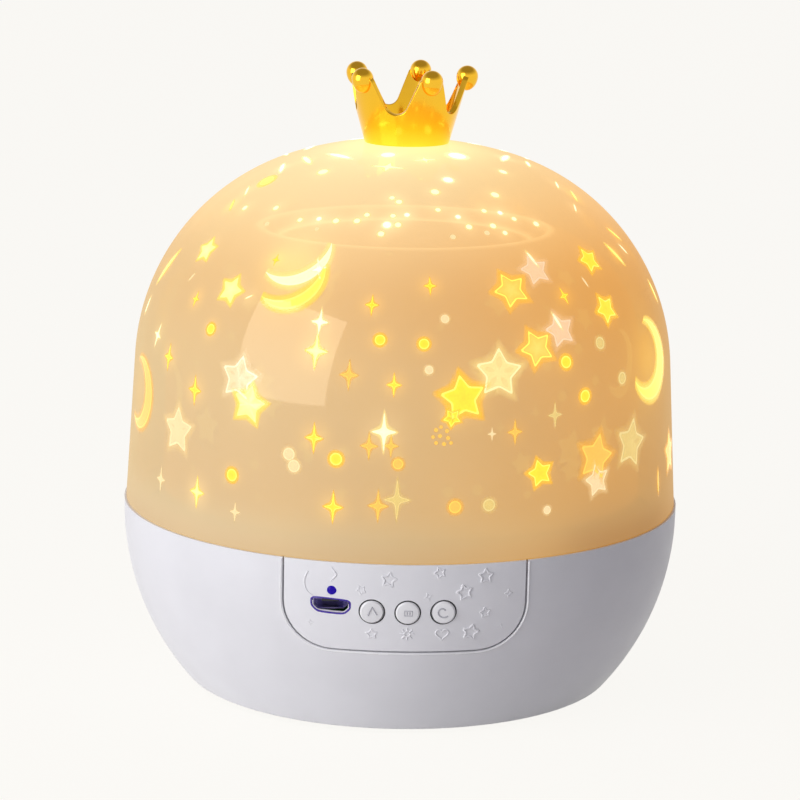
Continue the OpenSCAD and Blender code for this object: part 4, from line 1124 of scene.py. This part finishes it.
def makeFront(s):
    # each piece with its paint and its slot
    # the lip is painted whiter than the shell, as a painted highlight along the groove's edge
    lip = bead("panelLip", lipLine(s), s["lipBead"], False)
    # painted shadow: a near-black ring in each button's gap
    gaps = join([bead("gapShadowRing", gapLine(s, middle), s["gapBead"], True) for middle in s["gapMiddles"]], "gapShadowRings")
    # painted light: the socket's rim glows violet
    rim = bead("socketRim", socketLine(s, 0, s["rimDeep"], s["socketTall"]), s["rimBead"], True)
    edge = bead("socketEdge", socketLine(s, s["edgeIn"], s["edgeDeep"], s["edgeTop"]), s["edgeBead"], False)
    return ((lip, moulded("lipHighlightWhite", [0.97, 0.97, 0.98], 0.25), "white_shell"),
            (gaps, moulded("gapShadowDark", [0.018, 0.018, 0.022], 0.7), "black_plastic"),
            (rim, glowing("rimViolet", [0.05, 0.03, 0.22], [0.045, 0.02, 0.26], 0.6, 0.2), "blue_indicator"),
            (edge, finishes["white_panel"], "white_panel"))


for piece, paint, slot in makeFront(frontShape):
    paintOver(piece, paint)
    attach(piece, "base")

# nothing on the front stands further out than the solids do
for name in ("panelRelief", "panelLip", "sign_middle"):
    for vert in bpy.data.objects[name].data.vertices:
        vert.co.y = max(vert.co.y, cadBox[0][1])
print("panel relief", len(panelRelief.data.polygons))

# dark crosses on the heads of the case screws, as painted shade where their cross recesses are
recessShape = {
    "angles": (45, 135, 225, 315), "spin": 0.9,
    "head": 2.6, "face": 1.1, "long": 1.35, "wide": 0.3, "proud": 0.03, "sunk": 0.06,
}


def makeRecesses(s):
    w, h = s["wide"], s["long"]
    corners = [(h, w), (w, w), (w, h)]
    for _ in range(3):
        corners += [(-y, x) for x, y in corners[-3:]]
    cross = begin("cross", bpy.ops.mesh.primitive_circle_add, vertices=len(corners), radius=1, fill_type="NGON")
    for vert, corner in zip(cross.data.vertices, corners):
        vert.co = Vector((*corner, s["face"] + s["sunk"])) * mm
    edit("FACE")
    bpy.ops.mesh.extrude_region_move(TRANSFORM_OT_translate={"value": (0, 0, -(s["sunk"] + s["proud"]) * mm)})
    closeUp(fineMerge)
    screws = nodes["case_screws"]
    reach = max((screws.matrix_world @ vert.co).to_2d().length for vert in screws.data.vertices) - s["head"] * mm
    seats = [turnZ(radians(angle)) @ Matrix.Translation((reach, 0, 0)) @ turnZ(s["spin"] * i)
             for i, angle in enumerate(s["angles"])]
    pieces = [copyOf(cross, seat, "screwRecess") for seat in seats]
    bpy.data.objects.remove(cross)
    return join(pieces, "screwRecesses")


recesses = makeRecesses(recessShape)
# the crosses are painted near black, as painted shade in the recesses
paintOver(recesses, moulded("recessPaintedShade", [0.03, 0.03, 0.033], 0.6))
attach(recesses, "base")
print("screw recesses")

# studio: one large soft lamp at the left front, an even pale room and a pale floor
studio = {
    "keyAzimuth": -141.5, "keyRise": 16.5, "keyReach": 0.8, "keyWide": 0.6, "keyTall": 0.6, "keyLevel": 3.42,
    "aimHeight": 0.065, "ambient": (0.37, 0.362, 0.412, 1), "white": (0.973, 0.956, 0.922, 1),
    "ceiling": (0.36, 0.33, 0.3, 1), "ceilingRise": (0.25, 0.75),
    "dimWay": (0.93, -0.36, 0), "dimRise": (-0.05, 0.9), "dimSide": 0.4,
    "floorHalf": 3, "floorLift": 0.93, "floorWhite": (1, 0.985, 0.948, 1), "floorDull": (0.85, 0.84, 0.83, 1),
}


def makeLamp(s):
    data = bpy.data.lights.new("keyLamp", "AREA")
    data.shape = "RECTANGLE"
    data.size, data.size_y = s["keyWide"], s["keyTall"]
    data.energy = s["keyLevel"] * pi * s["keyWide"] * s["keyTall"]
    lamp = newObject("keyLamp", data)
    side, rise = radians(s["keyAzimuth"]), radians(s["keyRise"])
    away = Vector((cos(side) * cos(rise), sin(side) * cos(rise), sin(rise)))
    lamp.location = Vector((0, 0, s["aimHeight"])) + away * s["keyReach"]
    lamp.rotation_euler = away.to_track_quat("Z", "Y").to_euler()


def makeWorld(s):
    # white where it is seen, in metal or through glass; a dimmer ceiling in reflections; a plain level as light
    p = Paint("studioWorld", world=True)
    way = p.node("TexCoord", out="Generated")
    rise = p.between(p.node("SeparateXYZ", None, {0: way}, "Z"), *s["ceilingRise"])
    side = p.node("VectorMath", {"operation": "DOT_PRODUCT"}, {0: way, 1: s["dimWay"]}, "Value")
    plain = p.mix(p.between(side, *s["dimRise"], 1, s["dimSide"]), (0, 0, 0, 1), s["ambient"])
    unseen = p.mix(p.ray("Glossy"), plain, p.mix(rise, s["white"], s["ceiling"]))
    sky = p.mix(p.ray("Camera").most(p.ray("Transmission")), unseen, s["white"])
    bpy.context.scene.world = p.finish(p.node("Background", None, {"Color": sky}))


def makeFloor(s):
    floor = begin("studioFloor", bpy.ops.mesh.primitive_plane_add, size=2 * s["floorHalf"])
    p = Paint("floorWhite")
    seen = p.ray("Camera").most(p.ray("Glossy")).most(p.ray("Transmission"))
    lit = p.node("Emission", None, {"Color": s["floorWhite"], "Strength": 1})
    dull = p.node("BsdfDiffuse", None, {"Color": s["floorDull"]})
    behind = p.node("NewGeometry", out="Backfacing")  # clear when looked at from below
    paintOver(floor, p.finish(p.blend(behind, p.blend(seen * s["floorLift"], dull, lit), p.clear())))


makeLamp(studio)
makeWorld(studio)
makeFloor(studio)
bpy.context.scene.view_settings.view_transform = "Standard"
print("studio")
